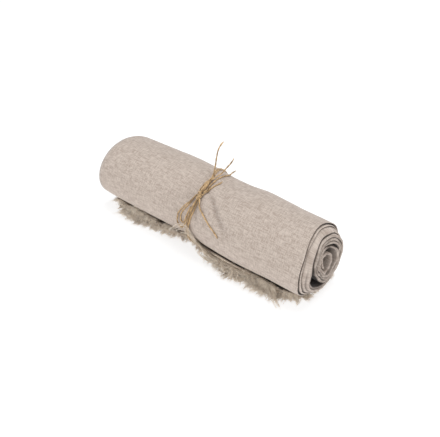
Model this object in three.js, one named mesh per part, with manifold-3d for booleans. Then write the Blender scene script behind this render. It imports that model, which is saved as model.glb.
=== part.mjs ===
// Linen tablecloth, folded in four along its length, rolled up and tied with jute twine.
//
// Lengths are millimetres. X runs along the roll and its open end is at +X. The roll lies on
// the floor at Z = 0. The cloth's loose end comes out under it towards -Y, the front.
// Angles around the roll start straight down and go by the back, the top and the front.

import * as THREE from 'three';
import { mergeVertices } from 'three/addons/utils/BufferGeometryUtils.js';
import Module from 'manifold-3d';

const wasm = await Module();
wasm.setup();

// Main sizes

const PACKAGE_WIDTH = 350;
const OUTER_RADIUS = 54;
const FLAT_DEPTH = 1.5;
const CLEARANCE = 0.5;
const TWINE_DIAMETER = 2;

// The roll along its length: local radius of the outermost turn at each place along X, how far
// the section is set towards the back, and the share of the twine's groove there. The twine
// draws in the front of the middle, and both ends are a little narrower.
const BODY = [
  { along: -179, radius: 50.2, back: -0.7, groove: 0 },
  { along: -169, radius: 52.4, back: -0.7, groove: 0 },
  { along: -110, radius: 53.4, back: 0.4, groove: 0 },
  { along: -45, radius: 54.0, back: 1.6, groove: 0 },
  { along: -14, radius: 53.5, back: 1.2, groove: 0 },
  { along: -6.5, radius: 53.0, back: 0.9, groove: 1 },
  { along: 1.5, radius: 52.8, back: 0.6, groove: 1 },
  { along: 13, radius: 52.9, back: -0.8, groove: 0 },
  { along: 45, radius: 53.6, back: -1.7, groove: 0 },
  { along: 72, radius: 55.0, back: -1.5, groove: 0 },
  { along: 126, radius: 53.6, back: -0.7, groove: 0 },
  { along: 166, radius: 53.2, back: 1, groove: 0 },
  { along: 175, radius: 52.9, back: 1.5, groove: 0 },
];

// The winding, counted in turns from the floor inwards: thickness of the folded cloth, and the
// gap to the next turn inside it. The third turn is loose and puffed, over a hollow.
const WINDING = [
  { turn: 0, thick: 2.95, gap: 0.85 },
  { turn: 0.12, thick: 2.55, gap: 0.85 },
  { turn: 0.25, thick: 2.15, gap: 0.85 },
  { turn: 0.42, thick: 2.05, gap: 0.85 },
  { turn: 0.55, thick: 2.15, gap: 0.85 },
  { turn: 0.75, thick: 2.4, gap: 1 },
  { turn: 0.9, thick: 2.8, gap: 1 },
  { turn: 1, thick: 2.75, gap: 0.85 },
  { turn: 1.25, thick: 2.05, gap: 0.85 },
  { turn: 1.42, thick: 1.95, gap: 0.85 },
  { turn: 1.55, thick: 2.05, gap: 0.85 },
  { turn: 1.75, thick: 2.15, gap: 0.85 },
  { turn: 2, thick: 4.4, gap: 0.9 },
  { turn: 2.1, thick: 4.6, gap: 1 },
  { turn: 2.25, thick: 5, gap: 1.1 },
  { turn: 2.4, thick: 3.6, gap: 1 },
  { turn: 2.47, thick: 4.2, gap: 1.5 },
  { turn: 2.55, thick: 6.8, gap: 2.4 },
  { turn: 2.65, thick: 8.6, gap: 3 },
  { turn: 2.72, thick: 10.4, gap: 8.3 },
  { turn: 2.8, thick: 11.4, gap: 12.6 },
  { turn: 2.87, thick: 11, gap: 10.4 },
  { turn: 2.94, thick: 9.6, gap: 5.9 },
  { turn: 3, thick: 6.9, gap: 1.3 },
  { turn: 3.06, thick: 2.4, gap: 0.8 },
  { turn: 3.125, thick: 3, gap: 0.8 },
  { turn: 3.25, thick: 4.8, gap: 0.8 },
  { turn: 3.4, thick: 5.6, gap: 0.9 },
  { turn: 3.5, thick: 5.6, gap: 0.9 },
  { turn: 3.62, thick: 6.6, gap: 0.9 },
  { turn: 3.72, thick: 5, gap: 0.8 },
  { turn: 3.83, thick: 3.8, gap: 0.8 },
  { turn: 4, thick: 5.5, gap: 0.9 },
  { turn: 4.125, thick: 4.4, gap: 0.8 },
  { turn: 4.25, thick: 4.9, gap: 0.8 },
  { turn: 4.4, thick: 5.4, gap: 0.9 },
  { turn: 4.5, thick: 5.6, gap: 0.9 },
  { turn: 4.62, thick: 6.6, gap: 0.9 },
  { turn: 4.72, thick: 5, gap: 0.8 },
  { turn: 4.83, thick: 3.8, gap: 0.8 },
  { turn: 5, thick: 5.5, gap: 0.9 },
  { turn: 5.125, thick: 4.4, gap: 0.8 },
  { turn: 5.25, thick: 4.9, gap: 0.8 },
  { turn: 5.4, thick: 5.4, gap: 0.9 },
  { turn: 5.5, thick: 5.6, gap: 0.9 },
  { turn: 5.62, thick: 6.6, gap: 0.9 },
  { turn: 5.72, thick: 5, gap: 0.8 },
  { turn: 5.83, thick: 3.8, gap: 0.8 },
  { turn: 6, thick: 4.2, gap: 0.8 },
  { turn: 6.78, thick: 2.8, gap: 0.8 },
];

// Outer face of the first turn, which ends by closing down onto the loose end.
const FIRST_TURN = [
  { turn: 0, radius: 54.0 },
  { turn: 0.5, radius: 53.9 },
  { turn: 0.75, radius: 53.6 },
  { turn: 0.9, radius: 51.9 },
  { turn: 1, radius: 50.1 },
];

// The cloth's inner end, which crosses the hollow in the middle.
const INNER_END = [
  { turn: 5.98, radius: 19.5 },
  { turn: 6.06, radius: 16.4 },
  { turn: 6.13, radius: 14 },
  { turn: 6.2, radius: 14.2 },
  { turn: 6.3, radius: 15.6 },
  { turn: 6.42, radius: 16 },
  { turn: 6.5, radius: 15.2 },
  { turn: 6.6, radius: 12.4 },
  { turn: 6.7, radius: 9.4 },
  { turn: 6.78, radius: 8.2 },
];

// Facets used on each turn, from the outermost inwards.
const FACETS_PER_TURN = [30, 26, 28, 18, 14, 14, 14];

// How far each radius stands out at the open end: everywhere, more towards the front, more
// towards the back, and less at the top. The last column is the far end's, where it is drawn in.
// The outer turns' far ends are askew: how far the top and the back are set along X.
const STAND_OUT = [
  { radius: 0, shift: 12.5, front: 0, back: 0, top: -4, far: 12 },
  { radius: 24, shift: 13, front: 0, back: 1, top: -6, far: 13 },
  { radius: 38, shift: 13.2, front: 0, back: 1.2, top: -7, far: 12 },
  { radius: 44, shift: 6.5, front: 4.8, back: 3, top: -3.5, far: 6.5 },
  { radius: 48.5, shift: -2.6, front: 9.6, back: 5, top: 0, far: 2.5 },
  { radius: 54, shift: -6.2, front: 11, back: 5, top: 0, far: 0 },
];
const FAR_END_SKEW = { top: 2.5, back: 7.5 };

// The three soft corners of the middle turns.
const CORNER_ANGLE = 15;
const CORNER_SHARE = 0.05;

// The groove under the roll that the two turns of twine lie in.
const GROOVE_DEPTH = 3.4;

// The two layers of the loose end, front to back: how far each reaches, how closely it follows
// the roll's underside (1 is all the way) and how high its edge lifts off the floor. Where a
// layer follows the roll it is held a little off its skin.
const SHEET_THICKNESS = 1.2;
const HELD_GAP = 0.8;
const LOOSE_TOP = [
  { along: -175, reach: 24, follow: 0.1, lift: 1.0 },
  { along: -150, reach: 35, follow: 0.1, lift: 3.5 },
  { along: -112, reach: 42, follow: 0.15, lift: 5.5 },
  { along: -85, reach: 43, follow: 0.35, lift: 3.0 },
  { along: -50, reach: 49, follow: 0.72, lift: 1.5 },
  { along: -22, reach: 54, follow: 0.93, lift: 0.5 },
  { along: -6.5, reach: 57, follow: 1, lift: 0 },
  { along: 1.5, reach: 57, follow: 1, lift: 0 },
  { along: 13, reach: 54, follow: 0.9, lift: 0.3 },
  { along: 40, reach: 46, follow: 0.45, lift: 2.0 },
  { along: 66, reach: 44, follow: 0.25, lift: 4.5 },
  { along: 94, reach: 40, follow: 0.3, lift: 3.0 },
  { along: 122, reach: 40, follow: 0.2, lift: 4.0 },
  { along: 148, reach: 36, follow: 0.1, lift: 6.0 },
  { along: 175, reach: 20, follow: 0.05, lift: 1.0 },
];
const LOOSE_UNDER = [
  { along: -175, reach: 24, follow: 0, lift: 0 },
  { along: -155, reach: 35, follow: 0, lift: 0 },
  { along: -130, reach: 45, follow: 0, lift: 0 },
  { along: -110, reach: 48, follow: 0, lift: 0 },
  { along: -97, reach: 41, follow: 0.05, lift: 0.4 },
  { along: -60, reach: 38, follow: 0.25, lift: 0.6 },
  { along: -45, reach: 33, follow: 0.4, lift: 0.4 },
  { along: -18, reach: 31, follow: 0.8, lift: 0 },
  { along: -6.5, reach: 32, follow: 1, lift: 0 },
  { along: 1.5, reach: 33, follow: 1, lift: 0 },
  { along: 18, reach: 34, follow: 0.55, lift: 0 },
  { along: 46, reach: 41, follow: 0.1, lift: 0.3 },
  { along: 65, reach: 48, follow: 0, lift: 0 },
  { along: 86, reach: 43, follow: 0, lift: 0 },
  { along: 128, reach: 42, follow: 0, lift: 0 },
  { along: 149, reach: 37, follow: 0, lift: 0 },
  { along: 175, reach: 14, follow: 0, lift: 0 },
];
const SHEET_STEPS_ACROSS = 5;
const SHEET_STATIONS = [
  -175, -162, -149, -136, -123, -110, -97, -84, -71, -58, -45, -32, -22, -14,
  -6.5, 1.5, 13, 24, 38, 52, 66, 80, 94, 108, 122, 136, 149, 162, 175,
];

// The frayed edges: a narrow strip, and locks of loose threads that grow out of it.
const FRINGE = [
  { name: 'fringe_top', count: 42, length: 9.5, droop: 0, seed: 3 },
  { name: 'fringe_under', count: 42, length: 11, droop: 1, seed: 8 },
];
const STRIP_WIDTH = 2.6;
const LOCK_WIDTH = 2.8;

// The frayed side of the lowest layer, which shows below the open end.
const SIDE_STRIP = { from: -20, to: 42, start: 175.6, width: 2.4, count: 16, length: 5, seed: 5 };

// Twine routes. Each row is a place on the roll: angle around it, place along X, and height of
// the cord's middle over the cloth.
const BAND_ROUTE = [
  { around: 209.9, along: 1.2, over: 1.5 },
  { around: 198, along: 0.8, over: 1.4 },
  { around: 188, along: -1.2, over: 1.4 },
  { around: 176, along: -5, over: 1.4 },
  { around: 164, along: -9.4, over: 1.4 },
  { around: 150, along: -13.4, over: 1.4 },
  { around: 132, along: -16.2, over: 1.4 },
  { around: 110, along: -16.8, over: 1.4 },
  { around: 85, along: -15, over: 1.4 },
  { around: 55, along: -10, over: 1.4 },
  { around: 28, along: -4.6, over: 1.4 },
  { around: 2, along: -2.5, over: 1.4 },
  { around: -0.5, along: -2.5, over: 5.7 },
  { around: -26, along: -2.6, over: 5.7 },
  { around: -46, along: -2.9, over: 5.7 },
  { around: -62, along: -3.2, over: 5.7 },
  { around: -75, along: -3.4, over: 3.7 },
  { around: -88, along: -3.2, over: 3.4 },
  { around: -98, along: -2.6, over: 1.5 },
  { around: -118, along: 0.2, over: 1.4 },
  { around: -137.9, along: 1.2, over: 1.5 },
];
const BAND_SPACING = 1.25;
const TIE_PLACE = -2.7;

const KNOT = { around: 216, along: 1.2, over: 3.2, length: 12, width: 9, height: 5.2 };

const LOOSE_TWINE = {
  bow_outer: [
    { around: 219.4, along: -2.9, over: 5.0 },
    { around: 230, along: -6.6, over: 4.6 },
    { around: 238.5, along: -12.2, over: 3.6 },
    { around: 247.5, along: -17.2, over: 3.0 },
    { around: 257.5, along: -21.6, over: 3.0 },
    { around: 266.5, along: -21.8, over: 3.4 },
    { around: 273.5, along: -17.6, over: 4.4 },
    { around: 274.5, along: -12, over: 5.2 },
    { around: 268, along: -7.4, over: 5.0 },
    { around: 257, along: -3.6, over: 4.4 },
    { around: 246, along: -1.4, over: 4.2 },
    { around: 235, along: -0.4, over: 4.4 },
    { around: 225.5, along: 1.2, over: 4.9 },
  ],
  bow_inner: [
    { around: 217.4, along: -4.4, over: 2.8 },
    { around: 231.5, along: -7.2, over: 2.0 },
    { around: 240, along: -10.6, over: 1.5 },
    { around: 249, along: -14.8, over: 1.4 },
    { around: 258, along: -17.6, over: 1.4 },
    { around: 265, along: -17, over: 1.5 },
    { around: 268.5, along: -13.4, over: 1.7 },
    { around: 264, along: -9.8, over: 1.6 },
    { around: 255, along: -8, over: 1.5 },
    { around: 246, along: -6, over: 1.5 },
    { around: 238, along: -4.6, over: 1.6 },
  ],
  long_end: [
    { around: 220.8, along: 4.6, over: 3.6 },
    { around: 230.5, along: 9.0, over: 2.4 },
    { around: 237.5, along: 17.6, over: 1.6 },
    { around: 243.5, along: 26.4, over: 1.4 },
    { around: 248.8, along: 35, over: 1.4 },
    { around: 254.4, along: 44.4, over: 1.4 },
    { around: 261.5, along: 52, over: 1.4 },
  ],
  end_upright: [
    { around: 211.1, along: -2.2, over: 4.4 },
    { around: 200, along: -2.2, over: 3.9 },
    { around: 190, along: -1.6, over: 3.9 },
    { around: 182.5, along: -0.7, over: 5 },
    { around: 180, along: -0.2, over: 12.6 },
    { around: 178, along: 0, over: 21 },
    { around: 176.6, along: 0, over: 32.6 },
    { around: 175.2, along: 0, over: 42 },
    { around: 172.4, along: 0, over: 48.8 },
    { around: 169, along: 0, over: 52.8 },
  ],
  end_back: [
    { around: 209.5, along: 0.9, over: 4.6 },
    { around: 200, along: 1.2, over: 4.0 },
    { around: 190, along: 1.6, over: 3.9 },
    { around: 179, along: 2.3, over: 3.9 },
    { around: 170, along: 3.3, over: 5.0 },
    { around: 165, along: 4, over: 7.8 },
    { around: 160, along: 4.2, over: 12.2 },
    { around: 154.5, along: 4.4, over: 17.6 },
    { around: 152.2, along: 4.6, over: 22.2 },
    { around: 151.3, along: 4.8, over: 26 },
  ],
  end_side: [
    { around: 210.7, along: 5.1, over: 3.0 },
    { around: 201, along: 5.4, over: 1.7 },
    { around: 190, along: 5.2, over: 1.5 },
    { around: 180, along: 4.9, over: 1.5 },
    { around: 170, along: 5.3, over: 1.5 },
    { around: 161, along: 6.6, over: 1.6 },
    { around: 153.5, along: 8, over: 2.3 },
    { around: 148.3, along: 8.2, over: 5.7 },
    { around: 141.5, along: 8.4, over: 10 },
  ],
  end_short: [
    { around: 215.5, along: 6.5, over: 3.8 },
    { around: 205, along: 8.2, over: 2.6 },
    { around: 199, along: 9.2, over: 1.7 },
    { around: 190.5, along: 10.9, over: 1.5 },
    { around: 183, along: 12.8, over: 1.6 },
    { around: 177.5, along: 13.8, over: 2.6 },
  ],
};

// Materials

const linen = new THREE.MeshStandardMaterial({ color: 0xc2b5a8, roughness: 0.95, metalness: 0 });
const frayed = new THREE.MeshStandardMaterial({ color: 0xd6cbbd, roughness: 0.95, metalness: 0 });
const jute = new THREE.MeshStandardMaterial({ color: 0xb8955f, roughness: 0.9, metalness: 0 });

// Reading the tables

/** The two rows on either side of a place, and how far the place lies between them. */
function between(rows, key, at) {
  const next = rows.findIndex((row) => row[key] > at);
  const index = next < 0 ? rows.length - 1 : Math.max(next, 1);
  const [from, to] = [rows[index - 1], rows[index]];
  const share = THREE.MathUtils.clamp((at - from[key]) / (to[key] - from[key]), 0, 1);
  return { index, from, to, share };
}

/** Straight-line value of a column at a place. */
function lean(rows, key, at, column) {
  const { from, to, share } = between(rows, key, at);
  return THREE.MathUtils.lerp(from[column], to[column], share);
}

/** Smooth value of a column at a place: a curve through the rows that never overshoots them. */
function follow(rows, key, at, column) {
  const { index, from, to, share } = between(rows, key, at);
  const grade = (i) => (rows[i + 1][column] - rows[i][column]) / (rows[i + 1][key] - rows[i][key]);
  const slope = (i) => {
    if (i === 0 || i === rows.length - 1) return 0;
    const [before, after] = [grade(i - 1), grade(i)];
    return before * after > 0 ? (2 * before * after) / (before + after) : 0;
  };
  const span = to[key] - from[key];
  const rise = share * share * (3 - 2 * share);
  const start = slope(index - 1) * span * share * (1 - share) ** 2;
  const end = slope(index) * span * share ** 2 * (1 - share);
  return THREE.MathUtils.lerp(from[column], to[column], rise) + start - end;
}

/** Repeatable scatter between 0 and 1 for the nth thing of a family. */
function scatter(seed, n) {
  const value = Math.sin(seed * 12.9898 + n * 78.233) * 43758.5453;
  return value - Math.floor(value);
}

// The winding's cross-section

/** Radius of the cloth's outer face after a number of turns, before the middle's corners. */
function faceRadius(turn) {
  if (turn <= 1) return follow(FIRST_TURN, 'turn', turn, 'radius');
  const wound = (at) => {
    const outside = at - 1;
    const thick = follow(WINDING, 'turn', outside, 'thick');
    return faceRadius(outside) - thick - follow(WINDING, 'turn', outside, 'gap');
  };
  if (turn <= INNER_END[0].turn) return wound(turn);
  return Math.min(follow(INNER_END, 'turn', turn, 'radius'), wound(turn));
}

/** Point of the section at a turn and radius, in Y and height over the roll's axis. */
function sectionPoint(turn, radius) {
  const around = turn * 2 * Math.PI;
  const middle = THREE.MathUtils.smoothstep(36 - radius, 0, 24);
  const corner = Math.cos(3 * (around - THREE.MathUtils.degToRad(CORNER_ANGLE)));
  const reach = radius * (1 + CORNER_SHARE * middle * corner);
  return new THREE.Vector2(reach * Math.sin(around), -reach * Math.cos(around));
}

/** Closed outline of the folded cloth, wound from the floor inwards: one face out, one back. */
function windingShape() {
  const lastTurn = INNER_END[INNER_END.length - 1].turn;
  const turns = [];
  for (let turn = 0; turn < lastTurn - 0.01; turn += 1 / FACETS_PER_TURN[Math.floor(turn + 1e-6)]) {
    turns.push(turn);
  }
  turns.push(lastTurn);
  const outer = turns.map((turn) => sectionPoint(turn, faceRadius(turn)));
  const inner = turns.map((turn) => {
    return sectionPoint(turn, faceRadius(turn) - follow(WINDING, 'turn', turn, 'thick'));
  });
  return new THREE.Shape([...outer, ...inner.reverse()]);
}

// From the section to the roll as it lies

/** Puts a section point at its place on the lying roll, flattened where it meets the floor. */
function lie(along, across, height) {
  const size = lean(BODY, 'along', along, 'radius') / OUTER_RADIUS;
  const axis = size * OUTER_RADIUS - FLAT_DEPTH;
  const y = across * size + lean(BODY, 'along', along, 'back');
  const z = axis + height * size;
  const underside = axis - size * Math.sqrt(Math.max(OUTER_RADIUS ** 2 - across ** 2, 0));
  const press = Math.max(-underside, 0) * Math.exp(-Math.max(z - underside, 0) / 14);
  const groove = GROOVE_DEPTH * lean(BODY, 'along', along, 'groove');
  const raise = groove * Math.exp(-Math.max(z, 0) / 11);
  return new THREE.Vector3(along, y, Math.max(z + press + raise, 0));
}

/**
 * Point over the roll's skin at an angle around it. Angles below zero run forward from the
 * bottom, under the first turn's closing end.
 */
function overSkin(around, along, over) {
  const turn = (((around / 360) % 1) + 1) % 1;
  const skin = sectionPoint(turn, faceRadius(turn));
  const outwards = new THREE.Vector3(0, skin.x, skin.y).normalize();
  return lie(along, skin.x, skin.y).addScaledVector(outwards, over);
}

/** Shift along X near the roll's two ends, growing with the square of the distance from the middle. */
function standOut(along, across, height) {
  const radius = Math.hypot(across, height);
  const front = -across / Math.max(radius, 1);
  const toFront = (Math.hypot(front, 0.2) + front - 0.2) / 2;
  const toBack = (Math.hypot(front, 0.2) - front - 0.2) / 2;
  const top = (Math.max(height, 0) / Math.max(radius, 1)) ** 4;
  const column = (name) => follow(STAND_OUT, 'radius', radius, name);
  const outer = THREE.MathUtils.smoothstep(radius, 34, 50) / OUTER_RADIUS;
  const askew = (FAR_END_SKEW.top * height + FAR_END_SKEW.back * across) * outer;
  const openEnd = column('shift') + column('front') * toFront + column('back') * toBack + column('top') * top;
  const shift = along > 0 ? openEnd : column('far') + askew;
  return shift * ((2 * along) / PACKAGE_WIDTH) ** 2;
}

/** Replaces each vertex of a geometry by the point that a function gives for it. */
function reshape(geometry, place) {
  const position = geometry.attributes.position;
  const point = new THREE.Vector3();
  for (let i = 0; i < position.count; i += 1) {
    point.fromBufferAttribute(position, i);
    const moved = place(point);
    position.setXYZ(i, moved.x, moved.y, moved.z);
  }
  position.needsUpdate = true;
  return welded(geometry);
}

/** The same geometry with its shared vertices merged. */
function welded(geometry) {
  geometry.deleteAttribute('normal');
  geometry.deleteAttribute('uv');
  const merged = mergeVertices(geometry, 1e-4);
  merged.computeVertexNormals();
  return merged;
}

/** The wound cloth: its spiral section carried along X through the rows of the body. */
function rollGeometry() {
  const steps = BODY.length - 1;
  const band = new THREE.ExtrudeGeometry(windingShape(), { depth: steps, steps, bevelEnabled: false });
  return reshape(band, (point) => {
    const along = BODY[Math.round(point.z)].along;
    const placed = lie(along, point.x, point.y);
    placed.x += standOut(along, point.x, point.y);
    return placed;
  });
}

// The loose end and its frayed edges

/**
 * Point of a loose layer at a station: a distance forward from its root. It is mixed, by the
 * row's share, from a point flat on the floor and a point held against the roll's skin. Layer
 * counts down from the roll, and over is the height within the sheet.
 */
function loosePoint(rows, along, forward, layer, over) {
  const pitch = SHEET_THICKNESS + CLEARANCE;
  const share = follow(rows, 'along', along, 'follow');
  const lift = follow(rows, 'along', along, 'lift');
  const far = Math.min(forward / follow(rows, 'along', along, 'reach'), 1.25);
  const radius = lean(BODY, 'along', along, 'radius') - 1;
  const angle = THREE.MathUtils.radToDeg((forward + CLEARANCE) / radius);
  const depth = HELD_GAP + layer * pitch + SHEET_THICKNESS - over;
  const floor = (1 - layer) * pitch + over;
  const held = overSkin(-angle, along, depth);
  held.z = Math.max(held.z, floor);
  const drop = Math.max(overSkin(-0.4, along, depth).z - floor, 0) * Math.exp(-forward / 12);
  const front = lean(BODY, 'along', along, 'back') - CLEARANCE - forward;
  const flat = new THREE.Vector3(along, front, floor + drop + lift * far ** 4);
  return flat.lerp(held, share);
}

/** The same for any place along X, straight between the two stations beside it. */
function looseBetween(rows, along, forwardAt, layer, over) {
  const { from, to, share } = between(SHEET_STATIONS.map((at) => ({ at })), 'at', along);
  const start = loosePoint(rows, from.at, forwardAt(from.at), layer, over);
  return start.lerp(loosePoint(rows, to.at, forwardAt(to.at), layer, over), share);
}

/** One layer of the loose end, a thin slab with its own outline, bent to where it lies. */
function looseGeometry(rows, layer) {
  const steps = SHEET_STATIONS.length - 1;
  const slab = new THREE.BoxGeometry(steps, 1, 1, steps, SHEET_STEPS_ACROSS, 1);
  return reshape(slab, (point) => {
    const along = SHEET_STATIONS[Math.round(point.x + steps / 2)];
    const forward = (0.5 - point.y) * follow(rows, 'along', along, 'reach');
    return loosePoint(rows, along, forward, layer, (point.z + 0.5) * SHEET_THICKNESS);
  });
}

/** A geometry as a solid that can be joined to others. */
function solidOf(geometry) {
  const plain = geometry.index ? geometry : mergeVertices(geometry);
  return new wasm.Manifold(
    new wasm.Mesh({
      numProp: 3,
      vertProperties: new Float32Array(plain.attributes.position.array),
      triVerts: new Uint32Array(plain.index.array),
    }),
  );
}

/** A solid as a geometry. */
function geometryOf(solid) {
  const mesh = solid.getMesh();
  const geometry = new THREE.BufferGeometry();
  const positions = [];
  for (let i = 0; i < mesh.numVert; i += 1) {
    positions.push(...mesh.vertProperties.slice(i * mesh.numProp, i * mesh.numProp + 3));
  }
  geometry.setAttribute('position', new THREE.Float32BufferAttribute(positions, 3));
  geometry.setIndex([...mesh.triVerts]);
  geometry.computeVertexNormals();
  return geometry;
}

/** A lock of loose threads: three sides, thick at its root, bent once on its way to the tip. */
function lockGeometry(root, knee, tip, width) {
  const section = new THREE.Shape([
    new THREE.Vector2(0, -0.5),
    new THREE.Vector2(0.5, 0.5),
    new THREE.Vector2(-0.5, 0.5),
  ]);
  const lock = new THREE.ExtrudeGeometry(section, { depth: 2, steps: 2, bevelEnabled: false });
  const stops = [root, knee, tip];
  const taper = [1, 0.85, 0.28];
  const ahead = new THREE.Vector3().subVectors(tip, root);
  const side = new THREE.Vector3(-ahead.y, ahead.x, 0).normalize();
  return reshape(lock, (point) => {
    const stop = Math.round(point.z);
    const size = width * taper[stop];
    return new THREE.Vector3()
      .copy(stops[stop])
      .addScaledVector(side, -point.x * size)
      .add(new THREE.Vector3(0, 0, -point.y * Math.min(size, SHEET_THICKNESS)));
  });
}

/** The frayed edge of a loose layer: a strip just off its edge, with its locks joined to it. */
function fringeGeometry({ count, length, droop, seed }, rows, layer) {
  const steps = SHEET_STATIONS.length - 1;
  const strip = new THREE.BoxGeometry(steps, 1, 1, steps, 1, 1);
  const edge = (along) => follow(rows, 'along', along, 'reach') + CLEARANCE;
  const placed = reshape(strip, (point) => {
    const along = SHEET_STATIONS[Math.round(point.x + steps / 2)];
    const forward = edge(along) + (0.5 - point.y) * STRIP_WIDTH;
    return loosePoint(rows, along, forward, layer, (point.z + 0.5) * SHEET_THICKNESS);
  });
  let joined = solidOf(placed);
  for (let n = 0; n < count; n += 1) {
    const along = PACKAGE_WIDTH * ((n + 0.5) / count - 0.5);
    const underTwine = Math.abs(along - TIE_PLACE) < 4.5;
    if (droop && underTwine) continue;
    const sway = (scatter(seed, n) - 0.5) * 5;
    const long = length * (0.6 + 0.7 * scatter(seed + 1, n));
    const middle = SHEET_THICKNESS / 2;
    const at = (sideways, forward) => {
      const limit = PACKAGE_WIDTH / 2;
      const there = THREE.MathUtils.clamp(along + sideways, -limit, limit);
      return looseBetween(rows, there, (station) => edge(station) + forward, layer, middle);
    };
    const root = at(0, STRIP_WIDTH * 0.7);
    const past = (sideways, forward) => {
      if (!droop) return at(sideways, STRIP_WIDTH + forward);
      const hung = at(sideways, STRIP_WIDTH).add(new THREE.Vector3(0, -0.92, -0.4).multiplyScalar(forward));
      hung.z = Math.max(hung.z, middle);
      return hung;
    };
    const knee = past(sway * 0.4, long * 0.5);
    const tip = past(sway, long);
    joined = joined.add(solidOf(lockGeometry(root, knee, tip, LOCK_WIDTH)));
  }
  return geometryOf(joined);
}

/** The frayed side of the lowest layer: a strip on the floor below the open end. */
function sideFringeGeometry() {
  const { from, to, start, width, count, length, seed } = SIDE_STRIP;
  const strip = new THREE.BoxGeometry(width, to - from, SHEET_THICKNESS);
  strip.translate(start + width / 2, (from + to) / 2, SHEET_THICKNESS / 2);
  let joined = solidOf(welded(strip));
  for (let n = 0; n < count; n += 1) {
    const y = from + ((to - from) * (n + 0.5)) / count;
    const long = length * (0.55 + 0.8 * scatter(seed, n));
    const sway = (scatter(seed + 1, n) - 0.5) * 3;
    const middle = SHEET_THICKNESS / 2;
    const root = new THREE.Vector3(start + width * 0.8, y, middle);
    const knee = new THREE.Vector3(start + width + long * 0.5, y + sway * 0.4, middle);
    const tip = new THREE.Vector3(start + width + long, y + sway, middle);
    joined = joined.add(solidOf(lockGeometry(root, knee, tip, LOCK_WIDTH)));
  }
  return geometryOf(joined);
}

// The twine

/** A route wound on the roll: a smooth run through its rows, laid over the cloth's skin. */
class WoundRoute extends THREE.Curve {
  constructor(rows, shift) {
    super();
    this.rows = rows.map((row, stop) => ({ ...row, along: row.along + shift, stop }));
  }

  getPoint(share, target = new THREE.Vector3()) {
    const stop = share * (this.rows.length - 1);
    const [around, along, over] = ['around', 'along', 'over'].map((column) => {
      return follow(this.rows, 'stop', stop, column);
    });
    target.copy(overSkin(around, along, over));
    target.z = Math.max(target.z, TWINE_DIAMETER / 2 + 0.1);
    return target;
  }
}

/** A round cord with eight sides along a route. */
function twineGeometry(rows, shift = 0) {
  const path = new WoundRoute(rows, shift);
  path.arcLengthDivisions = 400;
  const steps = Math.round(path.getLength() / (TWINE_DIAMETER * 2.9));
  const corners = Array.from({ length: 8 }, (_, n) => {
    const angle = (n * Math.PI) / 4;
    return new THREE.Vector2(Math.cos(angle), Math.sin(angle)).multiplyScalar(TWINE_DIAMETER / 2);
  });
  const section = new THREE.Shape(corners);
  return welded(new THREE.ExtrudeGeometry(section, { steps, extrudePath: path }));
}

/** The gathered knot, a flattened ball over the cloth. */
function knotGeometry() {
  const ball = new THREE.SphereGeometry(0.5, 10, 7);
  ball.scale(KNOT.width, KNOT.length, KNOT.height);
  const centre = overSkin(KNOT.around, KNOT.along, KNOT.over);
  ball.rotateX(THREE.MathUtils.degToRad(KNOT.around - 180));
  ball.translate(centre.x, centre.y, centre.z);
  return welded(ball);
}

// The part

const tablecloth = new THREE.Group();
tablecloth.name = 'rolled_tablecloth';

/** Adds a named mesh to the part. */
function add(name, geometry, material) {
  const mesh = new THREE.Mesh(geometry, material);
  mesh.name = name;
  tablecloth.add(mesh);
}

add('roll', rollGeometry(), linen);
add('loose_top', looseGeometry(LOOSE_TOP, 0), linen);
add('loose_under', looseGeometry(LOOSE_UNDER, 1), linen);
add(FRINGE[0].name, fringeGeometry(FRINGE[0], LOOSE_TOP, 0), frayed);
add(FRINGE[1].name, fringeGeometry(FRINGE[1], LOOSE_UNDER, 1), frayed);
add('fringe_side', sideFringeGeometry(), frayed);
add('band_left', twineGeometry(BAND_ROUTE, -BAND_SPACING), jute);
add('band_right', twineGeometry(BAND_ROUTE, BAND_SPACING), jute);
add('knot', knotGeometry(), jute);
for (const [name, route] of Object.entries(LOOSE_TWINE)) {
  add(name, twineGeometry(route), jute);
}

// The origin is below the middle of the cloth's own box, twine left out.
const extent = new THREE.Box3();
for (const mesh of tablecloth.children.filter((child) => child.material !== jute)) {
  mesh.geometry.computeBoundingBox();
  extent.union(mesh.geometry.boundingBox);
}
const middle = extent.getCenter(new THREE.Vector3());
for (const mesh of tablecloth.children) {
  mesh.geometry.translate(-middle.x, -middle.y, -extent.min.z);
}

export default tablecloth;
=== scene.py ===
"""Linen tablecloth, folded in four along its length, rolled up and tied with jute twine.

The cloth is one sheet, wound from its loose frayed end inwards, so its folds, layers and turns
are those of a real one. X runs along the roll with the open end at +X, the loose end lies to
the front at -Y, and the floor is at Z = 0.
"""

import bpy
import numpy as np
from bpy.props import FloatProperty, FloatVectorProperty, IntProperty, PointerProperty
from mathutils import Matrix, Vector


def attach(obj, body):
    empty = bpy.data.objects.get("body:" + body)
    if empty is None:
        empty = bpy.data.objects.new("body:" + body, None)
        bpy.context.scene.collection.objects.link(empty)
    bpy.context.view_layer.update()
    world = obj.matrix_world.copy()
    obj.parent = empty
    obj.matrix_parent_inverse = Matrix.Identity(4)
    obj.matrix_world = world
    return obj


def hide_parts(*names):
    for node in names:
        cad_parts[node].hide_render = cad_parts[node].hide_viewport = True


bl_info = {
    "name": "Rolled tablecloth",
    "version": (1, 0, 0),
    "blender": (4, 5, 0),
    "location": "3D View > Sidebar > Tablecloth",
    "description": "Winds a linen tablecloth, frays its edges and ties it with jute twine",
    "category": "Object",
}

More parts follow.
